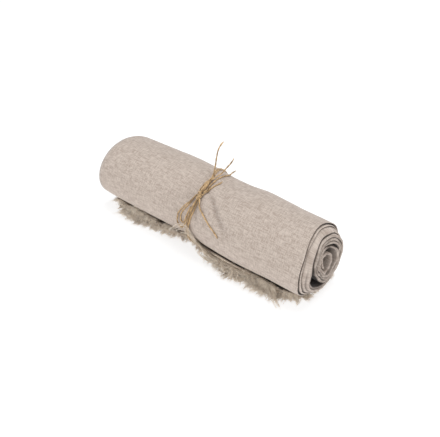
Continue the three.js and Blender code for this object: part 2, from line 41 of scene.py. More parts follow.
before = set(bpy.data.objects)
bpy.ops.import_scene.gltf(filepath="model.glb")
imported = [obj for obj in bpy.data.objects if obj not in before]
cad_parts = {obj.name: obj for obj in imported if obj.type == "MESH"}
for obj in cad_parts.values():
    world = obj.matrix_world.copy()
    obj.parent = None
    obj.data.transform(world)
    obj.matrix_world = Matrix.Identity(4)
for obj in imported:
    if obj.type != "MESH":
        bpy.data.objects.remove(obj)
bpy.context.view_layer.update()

# Lengths in the tables are millimetres, and are turned to metres as a mesh is made. Angles
# around the roll are degrees: they start straight down and go by the back and the top.
MM = 0.001

# Where the winding's own axis lies in the frame.
AXIS_PLACE = np.array([-1.088, 4.294, 0.0])

# The rolled package: its width, where its folded edges lie along X, and its outer radius.
PACKAGE_WIDTH = 350.0
NEAR_EDGE = 175.0
FAR_EDGE = -179.0
OUTER_RADIUS = 54.0
# How far the underside is pressed flat, how deep the twine's groove under it is, and the space
# between layers of the loose end.
FLAT_DEPTH = 1.5
GROOVE_DEPTH = 3.4
CLEARANCE = 0.5


def table(columns, *rows):
    """Rows of numbers, kept as one array for each named column."""
    return dict(zip(columns.split(), np.array(rows, float).T))


def tables(columns, **named_rows):
    """Several tables with the same columns, by their names."""
    return {name: table(columns, *rows) for name, rows in named_rows.items()}


# The roll along its length: radius of its outermost turn, how far the section is set towards
# the back, and the share of the twine's groove.
BODY = table(
    "along radius back groove",
    (-179, 50.2, -0.7, 0), (-169, 52.4, -0.7, 0), (-110, 53.4, 0.4, 0), (-45, 54.0, 1.6, 0),
    (-14, 53.5, 1.2, 0), (-6.5, 53.0, 0.9, 1), (1.5, 52.8, 0.6, 1), (13, 52.9, -0.8, 0),
    (45, 53.6, -1.7, 0), (72, 55.0, -1.5, 0), (126, 53.6, -0.7, 0), (166, 53.2, 1.0, 0),
    (175, 52.9, 1.5, 0),
)

# The winding, counted in turns from the floor inwards: thickness of the four layers together,
# and the gap to the next turn. The third turn is loose and puffed, and leaves a hollow at its
# lower front. The middle is wound finer, tight at the back and soft at the top.
WINDING = table(
    "turn thick gap",
    (0, 3.2, 0.6), (0.12, 2.8, 0.6), (0.25, 2.5, 0.5), (0.42, 2.4, 0.5), (0.55, 2.4, 0.6),
    (0.75, 2.4, 1.0), (0.9, 2.8, 1.0), (1, 3.0, 0.6), (1.25, 2.4, 0.5), (1.42, 2.3, 0.5),
    (1.55, 2.3, 0.6), (1.75, 2.3, 0.7), (2, 4.4, 0.9), (2.1, 4.6, 1.0), (2.25, 5.0, 1.1),
    (2.4, 4.6, 1.2), (2.47, 6.2, 1.8), (2.55, 8.2, 2.4), (2.65, 8.6, 3.0), (2.72, 10.4, 8.3),
    (2.8, 11.4, 12.6), (2.87, 11.0, 10.4), (2.94, 9.6, 5.9), (3, 6.9, 1.3), (3.06, 2.6, 0.6),
    (3.125, 2.6, 0.6), (3.25, 3.4, 0.6), (3.4, 4.2, 0.7), (3.5, 4.2, 0.7), (3.62, 5.0, 0.6),
    (3.72, 3.8, 0.5), (3.83, 2.9, 0.5), (4, 4.2, 0.5), (4.125, 3.2, 0.5), (4.25, 3.7, 0.5),
    (4.4, 3.6, 0.6), (4.5, 4.2, 0.6), (4.62, 5.0, 0.6), (4.72, 3.8, 0.5), (4.83, 2.9, 0.5),
    (5, 4.2, 0.5), (5.125, 3.2, 0.5), (5.25, 3.4, 0.8), (5.36, 3.0, 3.2), (5.46, 3.8, 1.4),
    (5.62, 5.0, 0.6), (5.72, 3.8, 0.5), (5.83, 2.9, 0.5), (6, 4.2, 0.5), (6.125, 3.2, 0.5),
    (6.25, 3.7, 0.5), (6.4, 4.0, 0.6), (6.5, 4.2, 0.6), (6.62, 5.0, 0.6), (6.72, 3.8, 0.5),
    (6.83, 2.9, 0.5), (7, 3.6, 0.5), (7.78, 2.6, 0.5),
)
FIRST_TURN = table(
    "turn radius", (0, 54.0), (0.5, 53.9), (0.75, 53.6), (0.9, 51.9), (1, 50.1)
)

# The cloth's inner end, which crosses the hollow in the middle.
INNER_END = table(
    "turn radius",
    (6.98, 19.5), (7.06, 16.4), (7.13, 14.0), (7.2, 14.2), (7.3, 15.6), (7.42, 16.0), (7.5, 15.2),
    (7.6, 12.4), (7.7, 9.4), (7.78, 8.2),
)
LAST_TURN = 7.78

# How much thinner the rims of the two outer turns are at the open end than further in.
RIM_PINCH = (0.62, 0.3)
# The thick folds at the open end show their inner folds: how deep the notches between them are,
# as a share of the fold's roundness, on each turn, and at which of the fold's steps they lie.
NOTCH = table("turn share", (0, 0), (2.64, 0), (2.76, 0.7), (3, 0.6), (3.15, 0.35), (7.8, 0.45))
NOTCH_STEPS = (4, 7)
FOLD_STEPS = 10

# Painted shade inside the gap that each turn has to the next one: how dark the cloth's colour is
# made there, and how far below the covering turn's rim that starts and is complete on the next
# turn's outer face.
GAP_SHADE = table(
    "turn dark start full",
    (0, 0.94, -0.9, 0.7), (1, 0.94, -0.9, 0.7), (1.06, 0.55, -0.8, 1.6), (1.95, 0.55, -0.8, 1.6),
    (2.1, 0.5, -1, 3), (2.4, 0.8, -1.4, 1.4), (2.47, 0.94, -1.5, 0.6), (2.56, 0.9, -1.2, 0.8),
    (2.62, 0.8, -3.5, 2), (2.68, 0.92, -1, 2), (2.75, 0.98, -0.2, 3), (2.96, 0.98, -0.2, 3),
    (3.06, 0.7, -0.7, 1.6), (5.2, 0.7, -0.7, 1.6), (5.3, 0.94, -0.6, 1.2), (5.46, 0.94, -0.6, 1.2),
    (5.6, 0.7, -0.5, 9), (6.4, 0.7, -0.5, 9), (7.0, 0.6, 1, 16), (7.8, 0.6, 1, 16),
)
# Where the painted shade of the gaps starts and is complete on the turns' inner faces.
INNER_FACE_SHADE = table(
    "turn start full", (0, 0.3, 2.6), (5.2, 0.3, 2.6), (5.7, 0.5, 10), (7.8, 0.5, 14)
)

# The three soft corners of the middle turns: where the first one is, and their share of the
# radius.
CORNER_ANGLE = 15.0
CORNER_SHARE = 0.05

# How far each radius stands out at the open end: everywhere, more towards the front, more
# towards the back, and less at the top. The last column is the far end's, where it is drawn in
# and the outer turns' ends are askew.
STAND_OUT = table(
    "radius shift front back top far",
    (0, 12.5, 0, 0, -4, 12), (24, 13, 0, 1, -6, 13), (38, 13.2, 0, 1.2, -7, 12),
    (44, 6.5, 4.8, 3, -3.5, 6.5), (48.5, -2.6, 9.6, 5, 0, 2.5), (54, -6.2, 11, 5, 0, 0),
)
FAR_END_SKEW = {"top": 2.5, "back": 7.5}

# Rows of the sheet on each turn of the winding, from the outermost inwards, and on the loose
# end. As far as FINE_TURNS, where the sheet shows, the rows have all the stations.
ROWS_PER_TURN = [104, 58, 60, 60, 52, 44, 38, 36]
FINE_TURNS = 1.08
ROWS_ON_LOOSE_END = 15
# Stations of the outer layer from end to end, and how many of them a row keeps further in.
OUTER_STATIONS = 76
KEPT_EVERY = 5
# The station and the row along which the cloth's length and width are measured for its yarns.
MIDDLE_STATION = 40
MIDDLE_ROW = 40

# The two pairs of layers of the loose end: how far they reach forward, how much they follow the
# roll's skin, and how high their edge lifts.
LOOSE_TOP = table(
    "along reach follow lift",
    (-175, 24, 0.1, 1.0), (-150, 35, 0.1, 3.5), (-112, 42, 0.15, 5.5), (-85, 43, 0.35, 3.0),
    (-50, 49, 0.72, 1.5), (-22, 54, 0.93, 0.5), (-6.5, 57, 1, 0), (1.5, 57, 1, 0),
    (13, 54, 0.9, 0.3), (40, 46, 0.45, 2.0), (66, 44, 0.25, 4.5), (94, 40, 0.3, 3.0),
    (122, 40, 0.2, 4.0), (148, 36, 0.1, 6.0), (175, 20, 0.05, 1.0),
)
LOOSE_UNDER = table(
    "along reach follow lift",
    (-175, 24, 0, 0), (-155, 35, 0, 0), (-130, 45, 0, 0), (-110, 48, 0, 0),
    (-97, 41, 0.05, 0.4), (-60, 38, 0.25, 0.6), (-45, 33, 0.4, 0.4), (-18, 31, 0.8, 0),
    (-6.5, 32, 1, 0), (1.5, 33, 1, 0), (18, 34, 0.55, 0), (46, 41, 0.1, 0.3), (65, 48, 0, 0),
    (86, 43, 0, 0), (128, 42, 0, 0), (149, 37, 0, 0), (175, 14, 0, 0),
)

# The frayed edge: length of its threads, how far they lean along X, and how high the pulled
# threads stand over the top layer.
FRAY = table(
    "along length lean pile start hug",
    (-175, 8, 0.5, 3, 20, 0), (-150, 12, 0.1, 6, 20, 0), (-112, 14, -0.1, 7.5, 20, 0),
    (-70, 14, 0.1, 7, 21, 0), (-35, 13, 0.35, 5, 24, 0), (-12, 12, 0.6, 3.5, 28, 0),
    (6, 12, 0.5, 2.5, 30, 0), (30, 16, 0.1, 3, 33, 0.8), (60, 18, 0, 4, 33, 0.85),
    (95, 18, -0.1, 5, 31, 0.8), (122, 19, 0, 7, 26, 0.1), (150, 17, 0.1, 4, 33, 0),
    (166, 14, 0, 2, 34, 0), (175, 9, -0.3, 2, 30, 0),
)

# Threads that the tie sweeps over the foot of the roll: their middle path.
SWEPT = table(
    "around along over",
    (-50, -46, 9), (-63, -36, 8.5), (-78, -24, 6.4), (-88, -8, 5.4), (-82, 0, 5.6), (-64, 12, 6.2),
    (-50, 23, 6.5), (-40, 32, 5.5),
)
# Threads of the top layer's edge, which lie along it where it hugs the roll: their middle path.
EDGE_THREADS = table(
    "around along over",
    (-44, 14, 6.5), (-46, 26, 5.0), (-47, 40, 4.4), (-47, 60, 4.2), (-46, 80, 4.2), (-45, 98, 4.6),
    (-40, 114, 5.5),
)
# How the loose end's edge wanders, and how the pile gathers along it: seed, number of waves, and
# their lengths.
EDGE_WANDER = {"seed": 5, "count": 6, "shortest": 9, "longest": 30}
CLUMPS = {"seed": 37, "count": 6, "shortest": 11, "longest": 24}
# Each kind of strand: its path, how many there are, and how far they spread in degrees round the
# roll and in height.
STRANDS = ((SWEPT, 20, 4.0, 0.5), (EDGE_THREADS, 200, 1.3, 0.6))
# The pile of pulled threads: its number of locks, the layer that it lies on as a depth in the
# stack, and how far it spreads beyond its lock's middle.
PILE_LOCKS = 130
PILE_DEPTH = 0.84
PILE_SPREAD = 1.9
# How far the top layer reaches where it hugs the roll, how thick a pair of layers is, how far it
# is held from the skin, and how far the loose end's blend into the roll runs.
HUGGED_REACH = 45.5
PAIR_THICKNESS = 1.2
HELD_GAP = 0.8
ROOT_BLEND = 12.0
# The lowest that a thread's middle lies.
LOWEST = 0.3

# Creases that the twine draws into the front: a path of places on the roll, with the height
# there (a valley below nought) and the half width.
CREASES = tables(
    "around along height width",
    valley_right=(
        (203, 5, -1.2, 2.8), (212, 18, -3.0, 3.4), (220, 28, -3.9, 4.0), (230, 38, -3.9, 4.5),
        (241, 50, -3.2, 5.2), (252, 63, -1.3, 6.4),
    ),
    ridge_right=(
        (212, 8, 1.2, 2.8), (222, 17, 2.2, 4.0), (234, 29, 2.4, 5.2), (247, 42, 1.4, 6.5),
    ),
    valley_beside=(
        (226, 4, -1.8, 2.4), (240, 4, -3.0, 2.8), (250, 7, -3.0, 3.0), (256, 14, -1.2, 3.6),
    ),
    pinch_left=(
        (214, -3, -1.8, 3.2), (222, -10, -2.4, 4.2), (232, -21, -1.9, 6.0), (241, -33, -0.6, 8.0),
    ),
    pinch_top_left=(
        (190, -3, -1.4, 3.2), (177, -9, -2.0, 4.0), (169, -22, -1.5, 5.5), (166, -38, -0.4, 8.0),
    ),
    pinch_top_right=(
        (188, 10, -1.3, 3.4), (174, 15, -1.8, 4.4), (167, 26, -1.2, 6.0), (165, 50, -0.4, 8.0),
    ),
)
# How deep below the skin the creases are still felt, and the places at which each path of a
# crease is measured.
CREASE_REACH = 8.0
CREASE_STOPS = 40
# The skin's slow swell and fine ripple: seed, number of waves, and their lengths.
SWELL = {"seed": 11, "count": 7, "shortest": 70, "longest": 160}
SWELL_HEIGHT = 0.45
RIPPLE = {"seed": 23, "count": 12, "shortest": 16, "longest": 42}
RIPPLE_HEIGHT = 0.16
# Angles from the bottom between which the skin leaves the floor.
FLOOR_ANGLES = (22, 50)
# The bell by which hidden turns are drawn in at the tie: its middle, half widths and depth.
TIE_BELL = {"along": 14, "half_length": 57, "around": 214, "half_angle": 55, "depth": 5.2}

# Twine routes. Each row is a place on the roll and the height of the cord's middle over it.
BAND_ROUTE = table(
    "around along over",
    (209.9, 1.2, 1.5), (198, 0.8, 1.4), (188, -1.2, 1.4), (176, -5.0, 1.4), (164, -9.4, 1.4),
    (150, -13.4, 1.4), (132, -16.2, 1.4), (110, -16.8, 1.4), (85, -15, 1.4), (55, -10, 1.4),
    (28, -4.6, 1.4), (2, -2.5, 1.4), (-0.5, -2.5, 5.7), (-26, -2.6, 5.7), (-46, -2.9, 5.7),
    (-62, -3.2, 5.7), (-75, -3.4, 3.7), (-88, -3.2, 3.4), (-98, -2.6, 1.5), (-118, 0.2, 1.4),
    (-137.9, 1.2, 1.5),
)
BAND_SPACING = 1.25
LOOSE_TWINE = tables(
    "around along over",
    bow_outer=(
        (219.4, -2.9, 5.0), (230, -6.6, 4.6), (238.5, -12.2, 3.6), (247.5, -17.2, 3.0),
        (257.5, -21.6, 3.0), (266.5, -21.8, 3.4), (273.5, -17.6, 4.4), (274.5, -12, 5.2),
        (268, -7.4, 5.0), (257, -3.6, 4.4), (246, -1.4, 4.2), (235, -0.4, 4.4),
        (225.5, 1.2, 4.9),
    ),
    bow_inner=(
        (217.4, -4.4, 2.8), (231.5, -7.2, 2.0), (240, -10.6, 1.5), (249, -14.8, 1.4),
        (258, -17.6, 1.4), (265, -17, 1.5), (268.5, -13.4, 1.7), (264, -9.8, 1.6),
        (255, -8, 1.5), (246, -6, 1.5), (238, -4.6, 1.6),
    ),
    long_end=(
        (220.8, 4.6, 3.6), (230.5, 9.0, 2.4), (237.5, 17.6, 1.6), (243.5, 26.4, 1.4),
        (248.8, 35, 1.4), (254.4, 44.4, 1.4), (261.5, 52, 1.4),
    ),
    end_upright=(
        (211.1, -2.2, 4.4), (200, -2.2, 3.9), (190, -1.6, 3.9), (182.5, -0.7, 5),
        (180, -0.2, 12.6), (178, 0, 21), (176.6, 0, 32.6), (175.2, 0, 42), (172.4, 0, 48.8),
        (169, 0, 52.8),
    ),
    end_back=(
        (209.5, 0.9, 4.6), (200, 1.2, 4.0), (190, 1.6, 3.9), (179, 2.3, 3.9), (170, 3.3, 5.0),
        (165, 4, 7.8), (160, 4.2, 12.2), (154.5, 4.4, 17.6), (152.2, 4.6, 22.2),
        (151.3, 4.8, 26),
    ),
    end_side=(
        (210.7, 5.1, 3.0), (201, 5.4, 1.7), (190, 5.2, 1.5), (180, 4.9, 1.5), (170, 5.3, 1.5),
        (161, 6.6, 1.6), (153.5, 8, 2.3), (148.3, 8.2, 5.7), (141.5, 8.4, 10),
    ),
    end_short=(
        (215.5, 6.5, 3.8), (205, 8.2, 2.6), (199, 9.2, 1.7), (190.5, 10.9, 1.5),
        (183, 12.8, 1.6), (177.5, 13.8, 2.6),
    ),
)
# How far a cord sinks into the cloth, and the space between a cord's rings.
TWINE_SINK = 0.3
CORD_STEP = 0.72

# The knot's middle, its three wraps (place down the roll, half width and slant), and its twisted
# strands (how many, the angles round the roll between which they run, their twist in radians, and
# how far they go to the side and up round the bands).
KNOT = {"around": 216.0, "along": 1.2, "over": 3.2}
KNOT_WRAPS = ((-2.2, 3.7, 1.3), (0.0, 4.1, 1.7), (2.1, 3.6, 1.2))
WRAP_HEIGHT = 1.7
KNOT_STRANDS = 6
KNOT_RUN = (224, 193)
KNOT_TWIST = 2.6
KNOT_SPREAD = (1.4, 1.2)
KNOT_RINGS = 45
KNOT_STEP = 0.5

# The soft round lamps: name, width and place, in metres, and the point that they face.
LAMPS = (
    ("key", 1.1, (-0.06, 0.3, 1.38)), ("front", 0.9, (-0.1, -1.2, 0.14)),
    ("end", 0.6, (1.2, -0.05, 0.3)),
)
LAMP_TARGET = (0, 0, 0.04)
SKY_COLOUR = (0.97, 0.985, 1, 1)

# Seeds of the random draws.
SEEDS = {"pile": 67, "loose end": 41, "side": 53, "knot": 77, "fibres": 91}


# Settings that a user would change


def length_setting(name, description, default):
    """A length, in metres."""
    return FloatProperty(name=name, description=description, default=default, unit="LENGTH")


def power_setting(name, description, default):
    """A lamp's power, in watts."""
    return FloatProperty(name=name, description=description, default=default, unit="POWER")


def angle_setting(name, description, degrees):
    """An angle, given in degrees and kept in radians."""
    return FloatProperty(
        name=name, description=description, default=np.radians(degrees), subtype="ANGLE"
    )


def count_setting(name, description, default):
    """A whole number, at least one."""
    return IntProperty(name=name, description=description, default=default, min=1)


def colour_setting(name, description, default):
    """A colour."""
    return FloatVectorProperty(
        name=name, description=description, default=default, subtype="COLOR", size=3, min=0, max=1
    )


class StageSettings(bpy.types.PropertyGroup):
    """Camera, lights and floor."""

    azimuth: angle_setting("Azimuth", "Camera's angle round the roll from the front", 39.31)
    elevation: angle_setting("Elevation", "Camera's angle above the floor", 39.15)
    distance: length_setting("Distance", "From the camera to the point that it looks at", 0.9666)
    look_at: FloatVectorProperty(
        name="Look at", description="Point in the middle of the picture",
        default=(0.00354, 0.01171, 0.031), subtype="XYZ", unit="LENGTH",
    )
    lens: FloatProperty(
        name="Lens", description="Focal length for a sensor 36 mm wide", default=54.33,
        subtype="DISTANCE_CAMERA",
    )
    floor_size: length_setting("Floor", "Width of the pale floor", 6.0)
    sky_strength: FloatProperty(
        name="Sky", description="Strength of the even white light from all round", default=0.58
    )
    key_energy: power_setting("Key light", "Power of the large soft light overhead", 10.6)
    front_energy: power_setting("Front light", "Power of the low soft light in front", 6.5)
    end_energy: power_setting("End light", "Power of the soft light towards the open end", 3.2)


class ClothSettings(bpy.types.PropertyGroup):
    """The sheet and its colours."""

    width: length_setting("Width", "Flat width of the cloth, folded in four", 1.40)
    length: length_setting("Length", "Flat length of the cloth, wound up", 1.80)
    thickness: length_setting("Thickness", "Thickness of one layer of the linen", 0.00045)
    thread_pitch: length_setting("Thread pitch", "Distance between yarns of the weave", 0.00062)
    light: colour_setting("Light yarn", "Colour of the palest yarns", (0.605, 0.52, 0.455))
    dark: colour_setting("Dark yarn", "Colour of the darkest yarns", (0.375, 0.30, 0.252))
    # Painted shade: the colour towards which the cloth is darkened deep between the turns, in its
    # creases and below the roll.
    deep: colour_setting(
        "Depth", "Colour of the cloth deep between the turns", (0.035, 0.022, 0.015)
    )


class FraySettings(bpy.types.PropertyGroup):
    """The loose threads along the frayed edges."""

    locks: count_setting("Locks", "Locks of threads along each layer of the loose end", 74)
    threads: count_setting("Threads", "Threads in each lock", 10)
    fluff: count_setting("Fluff", "Threads pulled loose over the top of the loose end", 4050)
    side: count_setting("Side threads", "Threads of the short side below the open end", 330)
    thickness: length_setting("Thickness", "Thickness of a thread at its root", 0.00085)
    light: colour_setting("Colour", "Colour of the bare threads", (1.0, 0.90, 0.76))
    # The shade colour serves both for darker threads and for the pile's painted shade below the
    # roll.
    dark: colour_setting("Shade", "Colour of the darker threads among them", (0.34, 0.22, 0.13))


class TwineSettings(bpy.types.PropertyGroup):
    """The jute twine."""

    diameter: length_setting("Diameter", "Diameter of the twine", 0.002)
    lay: length_setting("Lay", "Length of one whole twist of its two plies", 0.0075)
    fibres: count_setting("Fibres", "Loose fibres on each metre of twine", 900)
    light: colour_setting("Light fibre", "Colour of the palest fibres", (0.76, 0.52, 0.27))
    # The darkest colour also serves for the painted shade in the grooves between the plies.
    dark: colour_setting("Dark fibre", "Colour of the darkest fibres", (0.12, 0.065, 0.028))


# Reading the tables


def through(rows, key, at, column):
    """Curve through a table's rows that never overshoots them.

    Between two rows it is a cubic, whose slope at each row is the harmonic mean of the straight
    slopes on either side, or nought where they turn.
    """
    places, values = rows[key], rows[column]
    step = np.diff(places)
    grade = np.diff(values) / step
    slope = np.zeros(len(values))
    product = grade[:-1] * grade[1:]
    both = np.where(product > 0, grade[:-1] + grade[1:], 1.0)
    slope[1:-1] = np.where(product > 0, 2 * product / both, 0.0)
    at = np.asarray(at, float)
    after = np.clip(np.searchsorted(places, at, side="right"), 1, len(places) - 1)
    before = after - 1
    share = np.clip((at - places[before]) / step[before], 0, 1)
    rise = share**2 * (3 - 2 * share)
    start = slope[before] * step[before] * share * (1 - share) ** 2
    end = slope[after] * step[before] * share**2 * (1 - share)
    return values[before] + (values[after] - values[before]) * rise + start - end


def path_at(rows, stops):
    """Every column of a path's table at stops counted in rows."""
    numbered = {**rows, "stop": np.arange(len(rows["along"]), dtype=float)}
    return [through(numbered, "stop", stops, column) for column in rows]


def ease(value, low, high):
    """Smooth step: 0 below low, 1 above high, level at both."""
    share = np.clip((value - low) / (high - low), 0, 1)
    return share**2 * (3 - 2 * share)


def distances(path):
    """Distance along a path of points, from its first point to each of them."""
    return np.concatenate([[0], np.cumsum(np.linalg.norm(np.diff(path, axis=0), axis=1))])


def mix(a, b, share):
    """Straight mix of two arrays of points by a share for each point."""
    return a + (b - a) * share[..., None]


def unit(vectors):
    """The same directions at length 1."""
    return vectors / np.maximum(np.linalg.norm(vectors, axis=-1, keepdims=True), 1e-12)


# The roll's shape


def face_radius(turn):
    """Radius of the cloth's outer face after a number of turns.

    It is the first turn's radius at the same angle, less the thickness and gap of each turn
    outside it, and no more than the inner end's own table allows.
    """
    turn = np.asarray(turn, float)
    outside = np.maximum(np.ceil(turn - 1), 0).astype(int)
    first = turn - outside
    radius = through(FIRST_TURN, "turn", first, "radius")
    for n in range(int(np.max(outside, initial=0))):
        taken = through(WINDING, "turn", first + n, "thick")
        taken = taken + through(WINDING, "turn", first + n, "gap")
        radius = radius - np.where(outside > n, taken, 0)
    ended = np.minimum(through(INNER_END, "turn", turn, "radius"), radius)
    return np.where(turn > INNER_END["turn"][0], ended, radius)


def section(turn, radius):
    """Across and height of a point of the section: a circle, with three soft corners in its
    middle turns, as a cosine of three times the angle that grows as the radius falls."""
    around = 2 * np.pi * turn
    corner = np.cos(3 * (around - np.radians(CORNER_ANGLE)))
    reach = radius * (1 + CORNER_SHARE * ease(36 - radius, 0, 24) * corner)
    return reach * np.sin(around), -reach * np.cos(around)


def lie(along, across, height):
    """Puts a section point at its place on the lying roll.

    It is scaled to the local radius and set back, pressed up where it would be below the floor,
    and raised over the twine's groove, both fading with the height above the floor.
    """
    size = through(BODY, "along", along, "radius") / OUTER_RADIUS
    axis = size * OUTER_RADIUS - FLAT_DEPTH
    y = across * size + through(BODY, "along", along, "back")
    z = axis + height * size
    underside = axis - size * np.sqrt(np.maximum(OUTER_RADIUS**2 - across**2, 0))
    press = np.maximum(-underside, 0) * np.exp(-np.maximum(z - underside, 0) / 14)
    groove = GROOVE_DEPTH * through(BODY, "along", along, "groove")
    raised = z + press + groove * np.exp(-np.maximum(z, 0) / 11)
    return np.stack(np.broadcast_arrays(along, y, np.maximum(raised, 0)), -1)


def stand_out(along, across, height):
    """Shift along X near the two ends, growing with the square of the distance from the middle."""
    radius = np.hypot(across, height)
    front = -across / np.maximum(radius, 1)
    to_front = (np.hypot(front, 0.2) + front - 0.2) / 2
    to_back = (np.hypot(front, 0.2) - front - 0.2) / 2
    top = (np.maximum(height, 0) / np.maximum(radius, 1)) ** 4
    open_end = through(STAND_OUT, "radius", radius, "shift")
    open_end = open_end + through(STAND_OUT, "radius", radius, "front") * to_front
    open_end = open_end + through(STAND_OUT, "radius", radius, "back") * to_back
    open_end = open_end + through(STAND_OUT, "radius", radius, "top") * top
    outer = ease(radius, 34, 50) / OUTER_RADIUS
    far_end = (FAR_END_SKEW["top"] * height + FAR_END_SKEW["back"] * across) * outer
    far_end = far_end + through(STAND_OUT, "radius", radius, "far")
    return np.where(along > 0, open_end, far_end) * (2 * along / PACKAGE_WIDTH) ** 2


def waves(around, along, seed, count, shortest, longest):
    """Sum of plain waves in seeded directions over the skin, between about -1 and 1."""
    draw = np.random.default_rng(seed)
    total = np.zeros(np.broadcast(around, along).shape)
    for _ in range(count):
        length = draw.uniform(shortest, longest)
        heading, start = draw.uniform(0, 2 * np.pi, 2)
        arc = np.radians(around) * OUTER_RADIUS
        run = arc * np.cos(heading) + along * np.sin(heading)
        total += np.sin(run * 2 * np.pi / length + start)
    return total / np.sqrt(count) * 0.7


def crease_height(around, along):
    """Height of the creases at places on the skin.

    Each place takes the nearest point of the crease's path, and the height there times a bell
    curve of the distance over the half width.
    """
    total = np.zeros(np.broadcast(around, along).shape)
    arc = np.radians(around) * OUTER_RADIUS
    for rows in CREASES.values():
        stops = np.linspace(0, 1, CREASE_STOPS) * (len(rows["around"]) - 1)
        path_around, path_along, height, width = path_at(rows, stops)
        path_arc = np.radians(path_around) * OUTER_RADIUS
        near = np.hypot(arc[..., None] - path_arc, along[..., None] - path_along)
        place = np.argmin(near, -1)
        total += height[place] * np.exp(-((np.min(near, -1) / width[place]) ** 2))
    return total


def off_floor(around):
    """0 where the roll rests on the floor, 1 round the rest of it."""
    return ease(np.minimum(around, 360 - around), *FLOOR_ANGLES)


def swell(around, along):
    """Slow rise and fall of the skin."""
    return SWELL_HEIGHT * waves(around, along, **SWELL)


def relief(around, along):
    """How far the outer skin stands off its smooth shape: creases, a slow swell and a fine
    ripple, none of it where the roll rests on the floor."""
    around = np.asarray(around, float) % 360
    ripple = RIPPLE_HEIGHT * waves(around, along, **RIPPLE)
    return off_floor(around) * (crease_height(around, along) + swell(around, along) + ripple)


def drawn_in(around, along):
    """How far the hidden turns are drawn in below the creases at the tie, so that none of them
    comes through the skin: a flat-topped bell round the tie, with the skin's slow swell."""
    around = np.asarray(around, float) % 360
    far_along = (along - TIE_BELL["along"]) / TIE_BELL["half_length"]
    far_around = (around - TIE_BELL["around"]) / TIE_BELL["half_angle"]
    bell = np.exp(-(far_along**4) - far_around**4)
    return off_floor(around) * (swell(around, along) - TIE_BELL["depth"] * bell)


def skin(around, along, over):
    """Point over the roll's skin. Angles below nought run forward from the bottom."""
    turn = (np.asarray(around, float) / 360) % 1
    across, height = section(turn, face_radius(turn) + relief(around, along))
    outwards = unit(np.stack(np.broadcast_arrays(0 * across, across, height), -1))
    return lie(along, across, height) + outwards * np.asarray(over, float)[..., None]


# The loose end


def loose_pair(rows, along, forward, level, over):
    """Point of a pair of loose layers, mixed from one flat on the floor and one held against
    the roll's skin, by the table's share. Level 1 is the lower pair."""
    pitch = PAIR_THICKNESS + CLEARANCE
    share = through(rows, "along", along, "follow")
    lift = through(rows, "along", along, "lift")
    far = np.minimum(forward / through(rows, "along", along, "reach"), 1.25)
    radius = through(BODY, "along", along, "radius") - 1
    angle = np.degrees((forward + CLEARANCE) / radius)
    depth = HELD_GAP + level * pitch + PAIR_THICKNESS - over
    floor = (1 - level) * pitch + over
    held = skin(-angle, along, depth)
    held[..., 2] = np.maximum(held[..., 2], floor)
    front = through(BODY, "along", along, "back") - CLEARANCE - forward
    flat = np.stack(np.broadcast_arrays(along, front, floor + lift * far**4), -1)
    return mix(flat, held, share)


def loose_reach(along, depth):
    """How far a layer of the loose end reaches: the lower pair's, the upper pair's, or between,
    with an uneven edge."""
    upper = ease(depth, 0.34, 0.66)
    under = through(LOOSE_UNDER, "along", along, "reach")
    top = through(LOOSE_TOP, "along", along, "reach")
    top = top + (HUGGED_REACH - top) * through(FRAY, "along", along, "hug") * ease(depth, 0.85, 1)
    wander = 0.9 * waves(40 * depth, along, **EDGE_WANDER)
    return under + (top - under) * upper + wander - 1.6 * np.sin(np.pi * 3 * depth) ** 2


def loose_point(along, forward, depth):
    """Point of the loose end at a depth in the stack: 0 is the layer on the floor, 1 the top."""
    lower = np.clip(depth * 3, 0, 1)
    upper = np.clip(depth * 3 - 2, 0, 1)
    layer = PAIR_THICKNESS - 0.45
    under = loose_pair(LOOSE_UNDER, along, forward, 1, 0.22 + lower * layer)
    top = loose_pair(LOOSE_TOP, along, forward, 0, 0.22 + upper * layer)
    lying = mix(under, top, ease(depth, 0.34, 0.66))
    hug = through(FRAY, "along", along, "hug") * ease(depth, 0.85, 1) * ease(forward, 4, 26)
    angle = np.degrees(forward / OUTER_RADIUS)
    hugging = skin(-angle, along, 1.3 + 2.4 * (forward / HUGGED_REACH) ** 3)
    return mix(lying, hugging, hug)


# Making meshes


def placed(points):
    """Points of the winding's own frame in millimetres, as the scene's points in metres."""
    return (points + AXIS_PLACE) * MM


def make_piece(name, points, corners, counts, material, uv=None, tone=None):
    """A smooth-shaded mesh object at the origin.

    Points are in metres. Corners lists the faces' vertices one after the other, and counts says
    how many each face has.
    """
    mesh = bpy.data.meshes.new(name)
    mesh.vertices.add(len(points))
    mesh.vertices.foreach_set("co", np.ascontiguousarray(points, np.float32).ravel())
    mesh.loops.add(len(corners))
    mesh.loops.foreach_set("vertex_index", np.asarray(corners, np.int32))
    mesh.polygons.add(len(counts))
    starts = np.concatenate([[0], np.cumsum(counts)[:-1]]).astype(np.int32)
    mesh.polygons.foreach_set("loop_start", starts)
    mesh.update(calc_edges=True)
    mesh.validate()
    mesh.polygons.foreach_set("use_smooth", np.ones(len(counts), bool))
    if uv is not None:
        layer = mesh.uv_layers.new(name="Yarn")
        layer.data.foreach_set("uv", np.asarray(uv, np.float32)[corners].ravel())
    # The tone attribute: each vertex's own tone, with painted shade on the cloth, the pile and the
    # twine.
    if tone is not None:
        attribute = mesh.attributes.new("tone", "FLOAT", "POINT")
        attribute.data.foreach_set("value", np.asarray(tone, np.float32).ravel())
    mesh.materials.append(material)
    piece = bpy.data.objects.new(name, mesh)
    bpy.context.scene.collection.objects.link(piece)
    return piece


